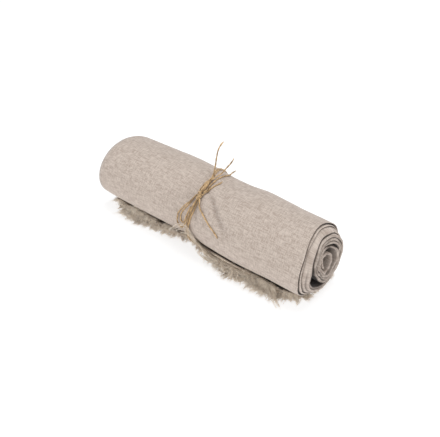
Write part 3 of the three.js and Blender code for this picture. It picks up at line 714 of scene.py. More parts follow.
def tube_mesh(centres, sideways, radii):
    """Points and faces of many closed tubes at once.

    Centres are tubes by rings by 3, radii are tubes by rings by sides. A corner is its ring's
    centre plus the radius times the cosine and sine of its angle along two directions square to
    the tube, the first of them square to sideways too. A flat face closes each end.
    """
    tangent = unit(np.gradient(centres, axis=1))
    across = unit(np.cross(tangent, sideways))
    up = np.cross(across, tangent)
    count, rings, sides = radii.shape
    angle = 2 * np.pi * np.arange(sides) / sides
    ways = np.cos(angle)[:, None] * across[:, :, None] + np.sin(angle)[:, None] * up[:, :, None]
    points = centres[:, :, None] + radii[..., None] * ways
    ring = (np.arange(count)[:, None] * rings + np.arange(rings)[None]) * sides
    here = np.arange(sides)
    after = (here + 1) % sides
    low, high = ring[:, :-1, None], ring[:, 1:, None]
    walls = np.stack([low + here, high + here, high + after, low + after], -1).reshape(-1, 4)
    first = (ring[:, :1] + here).reshape(-1, sides)
    last = (ring[:, -1:] + here[::-1]).reshape(-1, sides)
    corners = np.concatenate([walls.ravel(), first.ravel(), last.ravel()])
    counts = np.concatenate([np.full(len(walls), 4), np.full(2 * count, sides)])
    return points.reshape(-1, 3), corners, counts


def dress(piece, slot, *nodes):
    """Ties a piece to the body and hides the solids that it stands for. The slot is not used."""
    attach(piece, "root")
    if nodes:
        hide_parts(*nodes)


# The cloth


def station_runs():
    """The sheet's stations from one long edge to the other, as it is folded.

    Share runs from the far end to the open end, depth from the outer layer to the inner one, and
    near and far are how much of each fold's roundness is added. The outer fold is at the open
    end and wraps the inner one. The third fold, between them, is at the far end. The stations
    stand closer at the tie and at the open end. Comes with those that the hidden rows keep.
    """
    fine = np.linspace(0, 1, 400)
    along = FAR_EDGE + fine * (NEAR_EDGE - FAR_EDGE)
    tie = np.exp(-(((along - 14) / 52) ** 4))
    near = np.exp(-(((along - NEAR_EDGE) / 10) ** 2))
    dense = np.cumsum(1 / 6.8 + tie * (1 / 2.9 - 1 / 6.8) + near / 3)
    dense = (dense - dense[0]) / (dense[-1] - dense[0])
    outer = np.interp(np.linspace(0, 1, OUTER_STATIONS), dense, fine)
    plain = [0, 0.03, 0.1, 0.2, 0.3, 0.4, 0.475, 0.495, 0.515, 0.6, 0.7, 0.8, 0.9, 0.97, 1]
    plain = np.array(plain)
    inner_share = 0.985
    runs = []

    def run(shares, depth):
        """A flat stretch of one layer."""
        runs.append(np.stack([shares, 0 * shares + depth, 0 * shares, 0 * shares], 1))

    def fold(steps, start, end, column):
        """A half circle from one layer to the next, at the open end (2) or the far end (3)."""
        turned = np.linspace(0, np.pi, steps + 2)[1:-1]
        depth = start + (end - start) * (1 - np.cos(turned)) / 2
        rows = np.stack([0 * turned + (column == 2), depth, 0 * turned, 0 * turned], 1)
        rows[:, column] = np.sin(turned) ** 0.85
        runs.append(rows)

    run(outer, 0)
    fold(FOLD_STEPS, 0, 1, 2)
    run(plain[::-1], 1)
    fold(4, 1, 2 / 3, 3)
    run(plain * inner_share, 2 / 3)
    fold(5, 2 / 3, 1 / 3, 2)
    runs[-1][:, 0] = inner_share
    runs[-1][:, 2] *= 0.3
    run(plain[::-1] * inner_share, 1 / 3)
    stations = np.concatenate(runs)
    keep = np.ones(len(stations), bool)
    last = OUTER_STATIONS - 1
    keep[1:last] = np.arange(1, last) % KEPT_EVERY == 0
    keep[last - 2 : last] = True
    return stations, np.flatnonzero(keep)


def first_turn(turn):
    """1 on the outermost turn, 0 on the others."""
    return 1 - ease(turn, 0.96, 1.08)


def on_skin(turn, depth):
    """Whether a point of the sheet is on the outer layer of the outermost turn."""
    return (turn < 1) & (depth < 0.15)


def rounding(turn):
    """Half width of the fold at the open end, over each turn."""
    half = np.minimum(through(WINDING, "turn", turn, "thick") * 0.6, 4.2)
    return half * (1 - 0.65 * first_turn(turn))


def notches(turn, stations):
    """Depth of the notches at the stations of the outer fold where its inner folds meet, as a
    share of the fold's roundness, and 0 elsewhere."""
    first = int(np.argmax(stations[:, 2] > 0)) - 1
    marked = np.zeros(len(stations))
    marked[[first + step for step in NOTCH_STEPS]] = 1
    return marked * through(NOTCH, "turn", turn, "share")


def rim_wander(turn):
    """Small uneven shift of each turn's end along X."""
    return 0.55 * np.sin(turn * 2 * np.pi * 3.37 + 0.6) + 0.4 * np.sin(turn * 2 * np.pi * 7.73 + 2)


def wound_points(turn, stations, ply):
    """Points of the sheet in the roll, rows by stations."""
    turn = turn[:, None]
    share, depth, near, far = stations.T
    around = 360 * turn
    thick = through(WINDING, "turn", turn, "thick")
    round_near = rounding(turn)
    round_far = thick / 6
    start = FAR_EDGE + round_far * (1 - far)
    end = NEAR_EDGE - round_near + rim_wander(turn)
    notched = notches(turn, stations)
    along = start + (end - start) * share + near * (1 - notched) * round_near
    second = 1 - ease(turn, 1.9, 2.0)
    pinch = RIM_PINCH[1] * second + (RIM_PINCH[0] - RIM_PINCH[1]) * first_turn(turn)
    rim = 1 - pinch * ease(along, 148, NEAR_EDGE)
    radius = face_radius(turn) - ply / 2 - depth * (thick * rim - ply)
    skin_radius = through(FIRST_TURN, "turn", turn % 1, "radius")
    around = around + 0 * along
    bump = np.where(on_skin(turn, depth), relief(around, along), drawn_in(around, along))
    radius = radius + bump * np.exp(-np.maximum(skin_radius - radius, 0) / CREASE_REACH)
    across, height = section(turn, radius)
    points = lie(along, across, height)
    points[..., 0] += stand_out(along, across, height)
    return points


def painted_overhang_light(forward):
    """Share of light painted into the loose end's colour: little below the roll, all at the front.
    """
    return 0.08 + 0.92 * ease(forward, 27, 41)


def painted_light_share(turn, stations, points):
    """Share of light painted into the colour of each point of the wound sheet as painted shade,
    rows by stations.

    It is 1 on the skin and at the open folds. An inner face gets painted shade with the distance
    from its own turn's rim, an outer face with the distance below the rim of the turn that covers
    it, and the notches between the folds at the open end get more. The skin gets a little painted
    shade in the creases.
    """
    turn = turn[:, None]
    share, depth, _, _ = stations.T
    outer_face = depth < 0.5
    rim = points[..., 0].max(1)
    cover = np.interp(turn - 1, turn[:, 0], rim)
    rim = np.where(outer_face, cover, rim[:, None])
    inward = np.minimum(rim - points[..., 0], share * PACKAGE_WIDTH)
    gap = np.maximum(turn - outer_face, 0)
    dark, start, full = (through(GAP_SHADE, "turn", gap, c) for c in ("dark", "start", "full"))
    inner = (through(INNER_FACE_SHADE, "turn", gap, c) for c in ("start", "full"))
    start, full = (np.where(outer_face, *pair) for pair in zip((start, full), inner))
    inside = (1 - dark * ease(inward, start, full)) * (1 - 0.7 * notches(turn, stations))
    valley = -crease_height(360 * turn + 0 * inward, points[..., 0])
    return np.where(on_skin(turn, depth), 1 - 0.16 * ease(valley, 0.4, 3.4), inside)


def loose_points(fraction, stations, root):
    """Points of the loose end, rows by stations, run smoothly into the roll's first row."""
    share, depth, near, far = stations.T
    round_near = 1.4
    along = -PACKAGE_WIDTH / 2 + share * (PACKAGE_WIDTH - round_near)
    along = along + near * round_near - far * 0.5 + 0 * fraction[:, None]
    depth = depth + 0 * along
    forward = fraction[:, None] * loose_reach(along, depth)
    points = loose_point(along, forward, depth)
    offset = root - loose_point(along[-1], 0 * along[-1], depth[-1])
    return points + offset * np.exp(-forward / ROOT_BLEND)[..., None]


def grid_faces(fine_rows, rows, stations, kept):
    """Faces of a sheet whose first rows have every station and whose later rows only the kept
    ones. One row of many-sided faces joins the two, so no edge is left open."""
    fine = np.arange(fine_rows * stations).reshape(fine_rows, stations)
    later = np.arange((rows - fine_rows) * len(kept)).reshape(-1, len(kept)) + fine.size

    def quads(grid):
        """The squares between a grid's points."""
        low, high = grid[:-1], grid[1:]
        return np.stack([low[:, :-1], low[:, 1:], high[:, 1:], high[:, :-1]], -1).reshape(-1, 4)

    square = np.concatenate([quads(fine), quads(later)])
    corners, counts = [square.ravel()], [np.full(len(square), 4)]
    for n in range(len(kept) - 1):
        edge = fine[-1, kept[n] : kept[n + 1] + 1]
        corners.append(np.concatenate([edge, [later[0, n + 1], later[0, n]]]))
        counts.append([len(edge) + 2])
    return np.concatenate(corners), np.concatenate(counts)


def cloth_piece(settings, material):
    """The whole cloth, as one sheet: the loose end's rows, then the rows of the winding."""
    stations, kept = station_runs()
    turns = np.concatenate([n + np.arange(rows) / rows for n, rows in enumerate(ROWS_PER_TURN)])
    turns = np.append(turns[turns < LAST_TURN - 0.01], LAST_TURN)
    roll = wound_points(turns, stations, settings.thickness / MM)
    fraction = np.linspace(1, 0, ROWS_ON_LOOSE_END + 1)[:-1] ** 0.9
    loose = loose_points(fraction, stations, roll[0])
    points = np.concatenate([loose, roll])
    wound = distances(points[:, MIDDLE_STATION]) * MM
    across = distances(points[MIDDLE_ROW])
    across = across / across[-1] * settings.width
    uv = np.stack(np.broadcast_arrays(wound[:, None], across[None]), -1)
    fine_rows = ROWS_ON_LOOSE_END + int(np.sum(turns < FINE_TURNS))
    corners, counts = grid_faces(fine_rows, len(points), len(stations), kept)
    forward = fraction[:, None] * loose_reach(loose[..., 0], stations[:, 1] + 0 * loose[..., 0])
    # Painted shade: the share of light at each point goes into the cloth's tone attribute, which
    # darkens its colour.
    lit = np.concatenate([painted_overhang_light(forward), painted_light_share(turns, stations, roll)])[..., None]

    def packed(values):
        """The values at the vertices that the sheet keeps, row after row."""
        return np.concatenate(
            [values[:fine_rows].reshape(-1, values.shape[-1]),
             values[fine_rows:, kept].reshape(-1, values.shape[-1])]
        )

    piece = make_piece(
        "cloth", placed(packed(points)), corners, counts, material, packed(uv), packed(lit)
    )
    solid = piece.modifiers.new("Thickness", "SOLIDIFY")
    solid.thickness = settings.thickness
    solid.offset = 0
    return piece


# The frayed edges


def thread_paths(draw, roots, heading, length, steps=7):
    """Centre lines of loose threads, threads by rings by 3.

    Each goes from its root along its heading, swings to the side as half a wave, and sinks to
    its own resting height just over the floor.
    """
    share = np.linspace(0, 1, steps)[None, :, None]
    count = len(roots)
    turns = draw.uniform(0.6, 2.2, (count, 1, 1))
    swing = draw.normal(0, 1.7, (count, 1, 1)) * np.sin(np.pi * share * turns)
    side = unit(np.cross(heading, [0.0, 0.0, 1.0]))[:, None]
    path = roots[:, None] + heading[:, None] * length[:, None, None] * share + side * swing
    rest = draw.uniform(0.3, 3.4, (count, 1))
    sink = ease(share[..., 0], 0.0, 0.9)
    height = path[..., 2] - 0.035 * (length[:, None] * share[..., 0]) ** 2
    low = np.minimum(path[..., 2], 12.0)
    sunk = np.where(path[..., 2] < 12, low + (rest - low) * sink, height)
    path[..., 2] = np.maximum(sunk, LOWEST)
    return path


def pile_paths(draw, count, share):
    """Threads pulled loose over the top of the loose end, as a soft pile, and their tones.

    A thread starts on the top layer or above it, as high as the pile and the roll's underside
    allow, runs forward over the layer with the lock's lean and its own slow swing, and comes
    down to the floor past the edge. Locks are drawn to their middles as they go. The pile's tones
    carry painted shade below the roll.
    """
    lock = draw.integers(0, PILE_LOCKS, count)
    middle = np.sort(draw.uniform(-172, 170, PILE_LOCKS))[lock]
    lock_lean = draw.normal(0, 0.75, PILE_LOCKS)[lock]
    lock_long = draw.uniform(0.55, 1.25, PILE_LOCKS)[lock]
    lock_high = draw.uniform(0.25, 1.25, PILE_LOCKS)[lock]
    lock_tone = draw.uniform(0, 1, PILE_LOCKS)[lock]
    lock_start = draw.uniform(0, 1, PILE_LOCKS)[lock]
    clump = 1 + 0.45 * waves(0 * middle, middle, **CLUMPS)
    spread = draw.normal(0, PILE_SPREAD, count)
    along = np.clip(middle + spread, -174, 172)
    first, longest, lean, pile = (
        through(FRAY, "along", along, column) for column in ("start", "length", "lean", "pile")
    )
    reach = loose_reach(along, PILE_DEPTH)
    start = first + (reach - first) * np.clip(lock_start + draw.normal(0, 0.15, count), 0, 1) ** 0.8
    start = np.minimum(start, reach + 2)
    length = longest * lock_long * clump * draw.uniform(0.7, 1.25, count)
    lean = lean + lock_lean + draw.normal(0, 0.18, count)
    forward = start[:, None] + length[:, None] * share
    wave = draw.normal(0, 2.3, (count, 1)) * np.sin(share * draw.uniform(2, 8, (count, 1)))
    place = along[:, None] + (lean * length)[:, None] * share + wave - spread[:, None] * 0.5 * share
    place = np.clip(place, -177, 175)
    path = loose_point(place, forward, np.full(place.shape, PILE_DEPTH))
    under = OUTER_RADIUS - 2.5 - np.sqrt(np.maximum(OUTER_RADIUS**2 - forward**2, 0))
    room = np.maximum(under - path[..., 2], 0.4)
    high = draw.uniform(0.2, 1, count) * lock_high * clump
    rise = high[:, None] * np.minimum(pile[:, None], room)
    past = ease(forward - reach[:, None], 0, 11)
    rest = draw.uniform(0.3, 3.0, (count, 1))
    sunk = past * (1 - through(LOOSE_TOP, "along", along, "follow")[:, None])
    settled = path[..., 2] * (1 - sunk) + rest * sunk
    path[..., 2] = np.maximum(settled + rise * (1 - 0.5 * past) + LOWEST, LOWEST)
    # Each lock's own tone, with painted shade where the pile lies below the roll.
    tone = 0.3 * (lock_tone - 0.5)[:, None] + draw.normal(0, 0.12, (count, 1))
    return path, tone + 0.25 + 0.75 * ease(forward, 24, 33)


def strand_paths(draw, share, rows, count, spread, lift):
    """Threads laid along a path over the roll's skin, each on a stretch of it, and their tones."""
    last = len(rows["along"]) - 1
    stop = share * draw.uniform(0.3, 0.65, (count, 1))
    stop = np.minimum((stop + draw.uniform(0, 0.6, (count, 1))) * last, last)
    around, place, over = path_at(rows, stop)
    around = around + draw.normal(0, spread, (count, 1)) + draw.normal(0, spread / 3, stop.shape)
    place = place + draw.normal(0, 2.0, (count, 1)) + draw.normal(0, 0.5, stop.shape)
    laid = skin(around, place, over + draw.normal(0, lift, (count, 1)))
    laid[..., 2] = np.maximum(laid[..., 2], 0.5)
    return laid, draw.uniform(0.35, 1.2, (count, 1)) + 0 * stop


def fluff_threads(settings, steps=8):
    """All the threads over the top of the loose end: the pile, and the strands along it."""
    draw = np.random.default_rng(SEEDS["pile"])
    share = np.linspace(0, 1, steps)[None]
    sets = [pile_paths(draw, settings.fluff, share)]
    sets += [strand_paths(draw, share, *kind) for kind in STRANDS]
    paths, tones = (np.concatenate(part) for part in zip(*sets))
    return draw, paths, np.clip(tones, 0, 1)


def thread_piece(name, draw, paths, settings, material, tone=None):
    """Threads as three-sided tubes that thin out to their tips, each with its own tone, which on
    the pile also carries painted shade.
    """
    count, rings = paths.shape[:2]
    share = np.linspace(0, 1, rings)
    radius = settings.thickness / MM / 2 * draw.uniform(0.6, 1.2, (count, 1)) * (1 - 0.7 * share)
    sideways = np.array([0.31, 0.12, 0.94])
    points, corners, counts = tube_mesh(paths, sideways, np.repeat(radius[..., None], 3, -1))
    if tone is None:
        tone = draw.uniform(0.45, 1, (count, 1)) + np.zeros(rings)
    tone = np.repeat(tone.ravel(), 3)
    return make_piece(name, placed(points), corners, counts, material, tone=tone)


def loose_end_threads(settings):
    """Roots, headings and lengths of the threads along the loose end's four layers.

    Threads stand in locks: a lock's threads start side by side along the edge, and lean together
    towards its middle.
    """
    draw = np.random.default_rng(SEEDS["loose end"])
    per_lock = settings.threads
    places = (np.arange(settings.locks) + 0.5) / settings.locks
    roots, headings, lengths = [], [], []
    for depth in (0.0, 1 / 3, 2 / 3, 1.0):
        centre = PACKAGE_WIDTH * (places + draw.normal(0, 0.2 / settings.locks, len(places)) - 0.5)
        lean = draw.normal(0, 0.3, len(places)) + through(FRAY, "along", centre, "lean") * 0.6
        long = through(FRAY, "along", centre, "length") * draw.uniform(0.6, 1.15, len(places))
        offset = draw.uniform(-0.5, 0.5, (len(places), per_lock)) * PACKAGE_WIDTH / settings.locks
        along = np.clip((centre[:, None] + offset * 1.2).ravel(), -174, 173)
        level = np.full(along.shape, depth)
        reach = loose_reach(along, level)
        root = loose_point(along, reach - 1.2, level)
        ahead = unit(loose_point(along, reach + 0.6, level) - root)
        droop = 0.25 if depth > 0.5 else 0.75
        ahead = unit(ahead * (1 - droop) + np.array([0, -0.93, -0.37]) * droop)
        ahead[:, 0] += np.repeat(lean, per_lock) - 0.22 * offset.ravel() / 2
        ahead += draw.normal(0, 0.1, ahead.shape)
        roots.append(root)
        headings.append(unit(ahead))
        lengths.append(np.repeat(long, per_lock) * draw.uniform(0.6, 1.1, along.shape))
    return draw, np.concatenate(roots), np.concatenate(headings), np.concatenate(lengths)


def side_threads(settings):
    """Roots, headings and lengths of the short frayed side on the floor below the open end."""
    draw = np.random.default_rng(SEEDS["side"])
    count = settings.side
    across = draw.uniform(-24, 42, count)
    roots = np.stack([draw.uniform(171, 176, count), across, draw.uniform(0.4, 3.0, count)], 1)
    heading = np.stack(
        [np.ones(count), draw.normal(0, 0.25, count) - 0.1, draw.normal(0.0, 0.1, count)], 1
    )
    length = draw.uniform(5, 10.5, count)
    return draw, roots, unit(heading), length


# The twine


def route_points(rows, shift):
    """Evenly spaced points of a cord's route over the roll's skin, and its length."""
    stops = np.linspace(0, len(rows["around"]) - 1, 1500)
    around, along, over = path_at(rows, stops)
    dense = skin(around, along + shift, over - TWINE_SINK)
    dense[..., 2] = np.maximum(dense[..., 2], 1.1)
    passed = distances(dense)
    wanted = np.linspace(0, passed[-1], int(passed[-1] / CORD_STEP) + 1)
    return np.stack([np.interp(wanted, passed, dense[:, axis]) for axis in range(3)], 1), passed[-1]


def twine_radii(draw, steps, spacing, settings, sides=14, flare=False):
    """Radius at each corner of each ring: two lobes that wind round the cord once for each lay,
    with a little unevenness, and closing or thinning at the ends."""
    place = np.arange(steps) * spacing
    spin = place / (settings.lay / MM) * np.pi
    angle = 2 * np.pi * np.arange(sides) / sides
    lobes = 0.70 + 0.34 * np.abs(np.cos(angle[None] - spin[:, None])) ** 0.8
    uneven = 1 + 0.06 * np.sin(place / 5.1 + draw.uniform(0, 6)) + 0.04 * np.sin(place / 1.7)
    end = np.ones(steps)
    if flare:
        end[-6:] = np.linspace(1, 0.55, 6)
    return settings.diameter / MM / 2 * lobes * (uneven * end)[:, None]


def twine_tone_and_shade(draw, radii, spacing):
    """Tone at each corner of each ring: pale on the plies' crests, painted shade in the grooves
    between them, with a slow uneven drift along the cord."""
    steps = len(radii)
    stops = np.arange(0, steps * spacing + 12, 3.4)
    drift = np.interp(np.arange(steps) * spacing, stops, draw.normal(0, 0.34, len(stops)))
    crest = radii / radii.max(1, keepdims=True)
    return np.clip(draw.uniform(0.6, 0.95) + drift[:, None] - 2.0 * (1 - crest), 0, 1)


def sideways_for(name, path):
    """A direction that the cord never runs along: out from the roll for cords that lie flat on
    it, and the roll's own axis for those that go round it or stand up."""
    if name.startswith(("band", "end")):
        return np.broadcast_to([1.0, 0.0, 0.0], path.shape)
    return unit((path - [0, 0, 51.0]) * [0, 1, 1])


def twine_piece(name, rows, shift, settings, material):
    """Makes one cord and gives its centre line and its sideways directions for the loose fibres."""
    draw = np.random.default_rng(len(name) * 7 + 3)
    path, length = route_points(rows, shift)
    free = "end" in name
    radii = twine_radii(draw, len(path), length / (len(path) - 1), settings, flare=free)
    sideways = sideways_for(name, path)
    points, corners, counts = tube_mesh(path[None], sideways[None], radii[None])
    tone = twine_tone_and_shade(draw, radii, CORD_STEP)
    piece = make_piece("twine_" + name, placed(points), corners, counts, material, tone=tone)
    dress(piece, "jute", name)
    return path, sideways


def knot_piece(settings, material):
    """The knot: strands twisted together along the bands, and wraps wound slantwise over their
    lower end, each an ellipse that leans down the roll as it goes round."""
    draw = np.random.default_rng(SEEDS["knot"])
    centre = skin(*(np.array([KNOT[place]]) for place in ("around", "along", "over")))[0]
    slope = np.radians(KNOT["around"] - 180)
    down = np.array([0, -np.cos(slope), -np.sin(slope)])
    out = np.array([0, -np.sin(slope), np.cos(slope)])
    axis = np.array([1.0, 0, 0])
    ring = np.linspace(0, 2 * np.pi, KNOT_RINGS)
    loops = [
        centre + np.outer(np.cos(ring), axis) * wide + np.outer(np.sin(ring), out) * WRAP_HEIGHT
        + np.outer(offset + tilt * np.cos(ring), down)
        for offset, wide, tilt in KNOT_WRAPS
    ]
    run = np.linspace(*KNOT_RUN, KNOT_RINGS)
    backwards = {name: column[::-1] for name, column in BAND_ROUTE.items()}
    middle = through(backwards, "around", np.minimum(run, BAND_ROUTE["around"][0]), "along")
    for start in np.arange(KNOT_STRANDS) * 2 * np.pi / KNOT_STRANDS:
        turned = start + np.linspace(0, KNOT_TWIST, KNOT_RINGS)
        side, up = KNOT_SPREAD[0] * np.cos(turned), KNOT_SPREAD[1] * np.sin(turned)
        loops.append(skin(run, middle + side, KNOT["over"] + up))
    paths = np.stack(loops)
    sideways = np.broadcast_to(unit(axis * 0.2 + out * 0.3 + down * 0.93), paths.shape).copy()
    sideways[len(KNOT_WRAPS) :] = axis
    radii = np.stack([twine_radii(draw, KNOT_RINGS, KNOT_STEP, settings, sides=12) for _ in loops])
    points, corners, counts = tube_mesh(paths, sideways, radii * 0.92)
    tone = np.stack([twine_tone_and_shade(draw, ring_radii, KNOT_STEP) for ring_radii in radii])
    piece = make_piece("knot", placed(points), corners, counts, material, tone=tone)
    dress(piece, "jute", "knot")


def fibre_piece(cords, settings, material):
    """Loose fibres on every cord: thin curved hairs that leave its surface at a low angle."""
    draw = np.random.default_rng(SEEDS["fibres"])
    radius = settings.diameter / MM / 2
    roots, headings, lengths = [], [], []
    for path, sideways in cords:
        tangent = unit(np.gradient(path, axis=0))
        across = unit(np.cross(tangent, sideways))
        up = np.cross(across, tangent)
        count = int(distances(path)[-1] * MM * settings.fibres)
        place = draw.integers(1, len(path) - 1, count)
        angle = draw.uniform(0, 2 * np.pi, count)[:, None]
        out = np.cos(angle) * across[place] + np.sin(angle) * up[place]
        way = np.where(draw.uniform(size=(count, 1)) < 0.5, 1, -1)
        roots.append(path[place] + out * radius * 0.7)
        headings.append(unit(tangent[place] * way + out * draw.uniform(0.15, 0.9, (count, 1))))
        lengths.append(draw.gamma(2.2, 0.75, count).clip(0.8, 5.5))
    roots, heading, length = (np.concatenate(part) for part in (roots, headings, lengths))
    rings, sides = 5, 3
    share = np.linspace(0, 1, rings)[None, :, None]
    bend = draw.normal(0, 0.28, (len(roots), 1, 3)) * share**2
    paths = roots[:, None] + (heading[:, None] * share + bend) * length[:, None, None]
    paths[..., 2] = np.maximum(paths[..., 2], 0.1)
    thin = 0.055 * (1 - 0.6 * share) * np.ones((len(roots), 1, sides))
    points, corners, counts = tube_mesh(paths, np.array([0.3, 0.9, 0.31]), thin)
    tone = np.repeat(draw.uniform(0.5, 1, len(roots)), rings * sides)
    dress(make_piece("twine_fibres", placed(points), corners, counts, material, tone=tone), "jute")


# Materials


def wire(links, *pairs):
    """Joins sockets two by two."""
    for start, end in pairs:
        links.new(start, end)


def math_node(nodes, links, operation, *values):
    """A Math node with its inputs joined or set, and its output socket."""
    node = nodes.new("ShaderNodeMath")
    node.operation = operation
    for socket, value in zip(node.inputs, values):
        if isinstance(value, bpy.types.NodeSocket):
            links.new(value, socket)
        else:
            socket.default_value = value
    return node.outputs[0]


def new_group(name, inputs, output):
    """An empty shader node group: a vector socket for each input without a number, a number
    socket for each of the others, and one number that it puts out."""
    group = bpy.data.node_groups.new(name, "ShaderNodeTree")
    for label, number in inputs.items():
        kind = "NodeSocketVector" if number is None else "NodeSocketFloat"
        socket = group.interface.new_socket(label, in_out="INPUT", socket_type=kind)
        if number is not None:
            socket.default_value = number
    group.interface.new_socket(output, in_out="OUTPUT", socket_type="NodeSocketFloat")
    start = group.nodes.new("NodeGroupInput")
    end = group.nodes.new("NodeGroupOutput")
    return group, start, end


def yarn_group():
    """Uneven yarn tone: noise drawn out along the yarns one way and then the other, so that
    slubs run with the warp and the weft, and a finer fleck over both."""
    group, start, end = new_group(
        "Yarn tone",
        {"Vector": None, "Slub length": 0.012, "Slub width": 0.001}, "Tone",
    )
    nodes, links = group.nodes, group.links
    split = nodes.new("ShaderNodeSeparateXYZ")
    wire(links, (start.outputs["Vector"], split.inputs[0]))
    tones = []
    for long_axis in (0, 1):
        sizes = [start.outputs["Slub width"], start.outputs["Slub width"]]
        sizes[long_axis] = start.outputs["Slub length"]
        join = nodes.new("ShaderNodeCombineXYZ")
        for axis in (0, 1):
            scaled = math_node(nodes, links, "DIVIDE", split.outputs[axis], sizes[axis])
            wire(links, (scaled, join.inputs[axis]))
        join.inputs[2].default_value = 3.7 * long_axis
        noise = nodes.new("ShaderNodeTexNoise")
        noise.inputs["Scale"].default_value = 1.0
        noise.inputs["Detail"].default_value = 2.0
        wire(links, (join.outputs[0], noise.inputs["Vector"]))
        tones.append(noise.outputs[0])
    both = math_node(nodes, links, "ADD", tones[0], tones[1])
    halved = math_node(nodes, links, "MULTIPLY", both, 0.5)
    wire(links, (halved, end.inputs["Tone"]))


def weave_group():
    """Plain weave: yarns as rounded ridges a pitch apart, over and under by turns, so that each
    square of the board shows a warp yarn or a weft yarn."""
    group, start, end = new_group("Plain weave", {"Vector": None, "Pitch": 0.00062}, "Height")
    nodes, links = group.nodes, group.links
    split = nodes.new("ShaderNodeSeparateXYZ")
    wire(links, (start.outputs["Vector"], split.inputs[0]))
    ridges, cells = [], []
    for axis in (0, 1):
        turns = math_node(nodes, links, "DIVIDE", split.outputs[axis], start.outputs["Pitch"])
        cells.append(math_node(nodes, links, "FLOOR", turns))
        phase = math_node(nodes, links, "MULTIPLY", turns, float(np.pi))
        wave = math_node(nodes, links, "SINE", phase)
        ridges.append(math_node(nodes, links, "ABSOLUTE", wave))
    total = math_node(nodes, links, "ADD", cells[0], cells[1])
    even = math_node(nodes, links, "PINGPONG", total, 1.0)
    swap = nodes.new("ShaderNodeMix")
    wire(links, (even, swap.inputs[0]), (ridges[0], swap.inputs[2]), (ridges[1], swap.inputs[3]))
    wire(links, (swap.outputs[0], end.inputs["Height"]))


def set_values(node, values):
    """Sets inputs of a node by their names."""
    for label, value in values.items():
        node.inputs[label].default_value = value


def group_node(nodes, name, values):
    """A node of one of the scene's own groups, with its inputs set."""
    node = nodes.new("ShaderNodeGroup")
    node.node_tree = bpy.data.node_groups[name]
    set_values(node, values)
    return node


def tone_and_shade_socket(nodes):
    """The tone that each vertex of the mesh carries, painted shade included on the cloth, the pile
    and the twine.
    """
    node = nodes.new("ShaderNodeAttribute")
    node.attribute_name = "tone"
    return node.outputs["Fac"]


def blank_material(name):
    """A material with its shader, and the lists of its nodes and links."""
    material = bpy.data.materials.new(name)
    material.use_nodes = True
    nodes, links = material.node_tree.nodes, material.node_tree.links
    return material, nodes, links, nodes["Principled BSDF"]


def colour_mix(nodes, links, factor, low, high):
    """A mix of two colours, each a socket or a setting, by a factor socket."""
    node = nodes.new("ShaderNodeMix")
    node.data_type = "RGBA"
    links.new(factor, node.inputs[0])
    for socket, colour in zip(node.inputs[6:8], (low, high)):
        if isinstance(colour, bpy.types.NodeSocket):
            links.new(colour, socket)
        else:
            socket.default_value = (*colour, 1)
    return node.outputs[2]


def finish_shader(nodes, links, shader, colour, height, bump, surface):
    """Joins a colour and a bump's height to a shader, and sets its surface."""
    node = nodes.new("ShaderNodeBump")
    set_values(node, bump)
    wire(
        links,
        (height, node.inputs["Height"]),
        (node.outputs[0], shader.inputs["Normal"]),
        (colour, shader.inputs["Base Color"]),
    )
    set_values(shader, surface)


def stretched(nodes, links, value, low, high):
    """A value spread from low and high to nought and one."""
    node = nodes.new("ShaderNodeMapRange")
    links.new(value, node.inputs[0])
    node.inputs[1].default_value = low
    node.inputs[2].default_value = high
    return node.outputs[0]


def linen_material(settings):
    """Washed linen: slubby yarns of mixed tone, a fine plain weave and a soft sheen, with painted
    shade where the sheet's tone attribute says that it lies deep between the turns, in a crease or
    below the roll."""
    material, nodes, links, shader = blank_material("Washed linen")
    uv = nodes.new("ShaderNodeUVMap")
    uv.uv_map = "Yarn"
    yarn = group_node(nodes, "Yarn tone", {"Slub length": 0.0085, "Slub width": 0.0011})
    weave = group_node(nodes, "Plain weave", {"Pitch": settings.thread_pitch})
    wire(links, (uv.outputs[0], yarn.inputs["Vector"]), (uv.outputs[0], weave.inputs["Vector"]))
    woven = weave.outputs["Height"]
    tone = stretched(nodes, links, yarn.outputs["Tone"], 0.41, 0.59)
    faint = math_node(nodes, links, "MULTIPLY", woven, 0.2)
    factor = math_node(nodes, links, "MULTIPLY_ADD", tone, 0.8, faint)
    colour = colour_mix(nodes, links, factor, settings.dark, settings.light)
    # Painted shade: the tone attribute mixes the colour towards the deep colour where the cloth
    # lies in shade.
    shaded = colour_mix(nodes, links, tone_and_shade_socket(nodes), settings.deep, colour)
    height = math_node(nodes, links, "MULTIPLY_ADD", tone, 0.6, woven)
    finish_shader(
        nodes, links, shader, shaded, height, {"Strength": 0.45, "Distance": 0.00018},
        {"Roughness": 0.92, "Specular IOR Level": 0.25, "Sheen Weight": 0.18},
    )
    return material


def strand_material(name, settings, slub, grain):
    """Bare threads or twine: each strand's own tone, with the painted shade that it carries, and
    noise along it.
    """
    material, nodes, links, shader = blank_material(name)
    place = nodes.new("ShaderNodeTexCoord")
    yarn = group_node(nodes, "Yarn tone", {"Slub length": slub, "Slub width": slub / 3})
    links.new(place.outputs["Object"], yarn.inputs["Vector"])
    fleck = stretched(nodes, links, yarn.outputs["Tone"], 0.35, 0.65)
    grainy = math_node(nodes, links, "MULTIPLY", fleck, grain)
    factor = math_node(nodes, links, "MULTIPLY_ADD", tone_and_shade_socket(nodes), 1 - grain, grainy)
    colour = colour_mix(nodes, links, factor, settings.dark, settings.light)
    finish_shader(
        nodes, links, shader, colour, yarn.outputs["Tone"], {"Strength": 0.5, "Distance": 0.0002},
        {"Roughness": 0.9, "Specular IOR Level": 0.25, "Sheen Weight": 0.4},
    )
    return material


def floor_material():
    """Plain matt white, lit a little from within so that it stays white round the cloth."""
    material, _, _, shader = blank_material("White floor")
    set_values(shader, {
        "Base Color": (0.38, 0.38, 0.38, 1),
        "Emission Color": (1, 1, 1, 1),
        "Emission Strength": 0.72,
        "Roughness": 1.0,
        "Specular IOR Level": 0.0,
    })
    return material


# One operator for each group of pieces


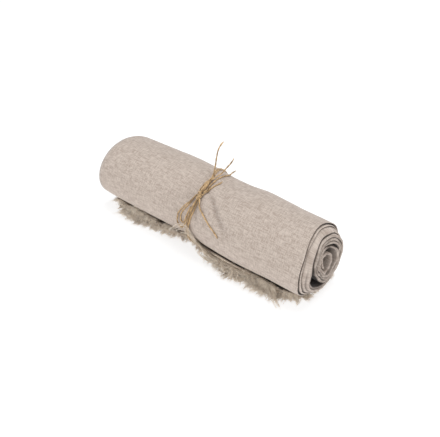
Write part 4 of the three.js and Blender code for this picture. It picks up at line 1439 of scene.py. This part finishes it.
class SetStage(bpy.types.Operator):
    """Places the camera, the lights and the pale floor."""

    bl_idname = "tablecloth.set_stage"
    bl_label = "Set stage"

    def execute(self, context):
        settings = context.scene.tablecloth_stage
        scene = context.scene
        camera = bpy.data.objects.new("camera", bpy.data.cameras.new("camera"))
        scene.collection.objects.link(camera)
        level = np.cos(settings.elevation)
        away = Vector((
            np.sin(settings.azimuth) * level,
            -np.cos(settings.azimuth) * level,
            np.sin(settings.elevation),
        ))
        target = Vector(settings.look_at)
        camera.location = target + away * settings.distance
        camera.rotation_euler = (-away).to_track_quat("-Z", "Y").to_euler()
        camera.data.lens = settings.lens
        camera.data.sensor_width = 36
        camera.data.clip_start = 0.01
        scene.camera = camera
        half = settings.floor_size / 2
        corners = np.array([(-half, -half, 0), (half, -half, 0), (half, half, 0), (-half, half, 0)])
        floor = make_piece("floor", corners, np.arange(4), [4], floor_material())
        world = bpy.data.worlds.new("even light")
        world.use_nodes = True
        sky = {"Color": SKY_COLOUR, "Strength": settings.sky_strength}
        set_values(world.node_tree.nodes["Background"], sky)
        scene.world = world
        energies = (settings.key_energy, settings.front_energy, settings.end_energy)
        for energy, (name, size, place) in zip(energies, LAMPS):
            light = bpy.data.lights.new(name, "AREA")
            light.shape = "DISK"
            light.size = size
            light.energy = energy
            lamp = bpy.data.objects.new(name, light)
            lamp.location = place
            aim = Vector(LAMP_TARGET) - lamp.location
            lamp.rotation_euler = aim.to_track_quat("-Z", "Y").to_euler()
            scene.collection.objects.link(lamp)
        scene.view_settings.view_transform = "Standard"
        return {"FINISHED"}


class TieTwine(bpy.types.Operator):
    """Ties the twine: the two bands, the bow, the loose ends, the knot and the fibres."""

    bl_idname = "tablecloth.tie_twine"
    bl_label = "Tie twine"

    def execute(self, context):
        settings = context.scene.tablecloth_twine
        material = strand_material("Jute", settings, 0.0022, 0.45)
        cords = {"band_left": (BAND_ROUTE, -BAND_SPACING), "band_right": (BAND_ROUTE, BAND_SPACING)}
        cords.update({name: (rows, 0.0) for name, rows in LOOSE_TWINE.items()})
        lines = [twine_piece(name, *route, settings, material) for name, route in cords.items()]
        knot_piece(settings, material)
        fibre_piece(lines, settings, material)
        return {"FINISHED"}


class FrayEdges(bpy.types.Operator):
    """Frays the loose end and the short side below the open end."""

    bl_idname = "tablecloth.fray_edges"
    bl_label = "Fray edges"

    def execute(self, context):
        settings = context.scene.tablecloth_fray
        material = strand_material("Bare threads", settings, 0.006, 0.4)
        draw, *threads = loose_end_threads(settings)
        end = thread_piece("frayed_end", draw, thread_paths(draw, *threads), settings, material)
        dress(end, "frayed", "fringe_top", "fringe_under")
        draw, paths, tone = fluff_threads(settings)
        dress(thread_piece("fluff", draw, paths, settings, material, tone), "frayed")
        draw, *threads = side_threads(settings)
        side = thread_piece("frayed_side", draw, thread_paths(draw, *threads), settings, material)
        dress(side, "frayed", "fringe_side")
        return {"FINISHED"}


class WindCloth(bpy.types.Operator):
    """Folds the cloth in four, winds it up and lays its loose end on the floor."""

    bl_idname = "tablecloth.wind_cloth"
    bl_label = "Wind cloth"

    def execute(self, context):
        settings = context.scene.tablecloth_cloth
        cloth = cloth_piece(settings, linen_material(settings))
        dress(cloth, "linen", "roll", "loose_top", "loose_under")
        return {"FINISHED"}


class TableclothPanel(bpy.types.Panel):
    """Lists the steps and their settings."""

    bl_idname = "VIEW3D_PT_tablecloth"
    bl_label = "Tablecloth"
    bl_space_type = "VIEW_3D"
    bl_region_type = "UI"
    bl_category = "Tablecloth"

    def draw(self, context):
        for name, (settings, step) in STEPS.items():
            box = self.layout.box()
            for setting in settings.__annotations__:
                box.prop(getattr(context.scene, name), setting)
            box.operator(step.bl_idname)


# Each step's settings on the scene, and its operator.
STEPS = {
    "tablecloth_stage": (StageSettings, SetStage),
    "tablecloth_twine": (TwineSettings, TieTwine),
    "tablecloth_fray": (FraySettings, FrayEdges),
    "tablecloth_cloth": (ClothSettings, WindCloth),
}


def register():
    """Adds the settings, the operators and the panel."""
    for name, (settings, step) in STEPS.items():
        bpy.utils.register_class(settings)
        setattr(bpy.types.Scene, name, PointerProperty(type=settings))
        bpy.utils.register_class(step)
    bpy.utils.register_class(TableclothPanel)


def unregister():
    """Takes them away again."""
    bpy.utils.unregister_class(TableclothPanel)
    for name, (settings, step) in STEPS.items():
        bpy.utils.unregister_class(step)
        delattr(bpy.types.Scene, name)
        bpy.utils.unregister_class(settings)


def main():
    """Builds the scene in order."""
    register()
    yarn_group()
    weave_group()
    bpy.ops.tablecloth.set_stage()
    bpy.ops.tablecloth.tie_twine()
    bpy.ops.tablecloth.fray_edges()
    bpy.ops.tablecloth.wind_cloth()


if __name__ == "__main__":
    main()
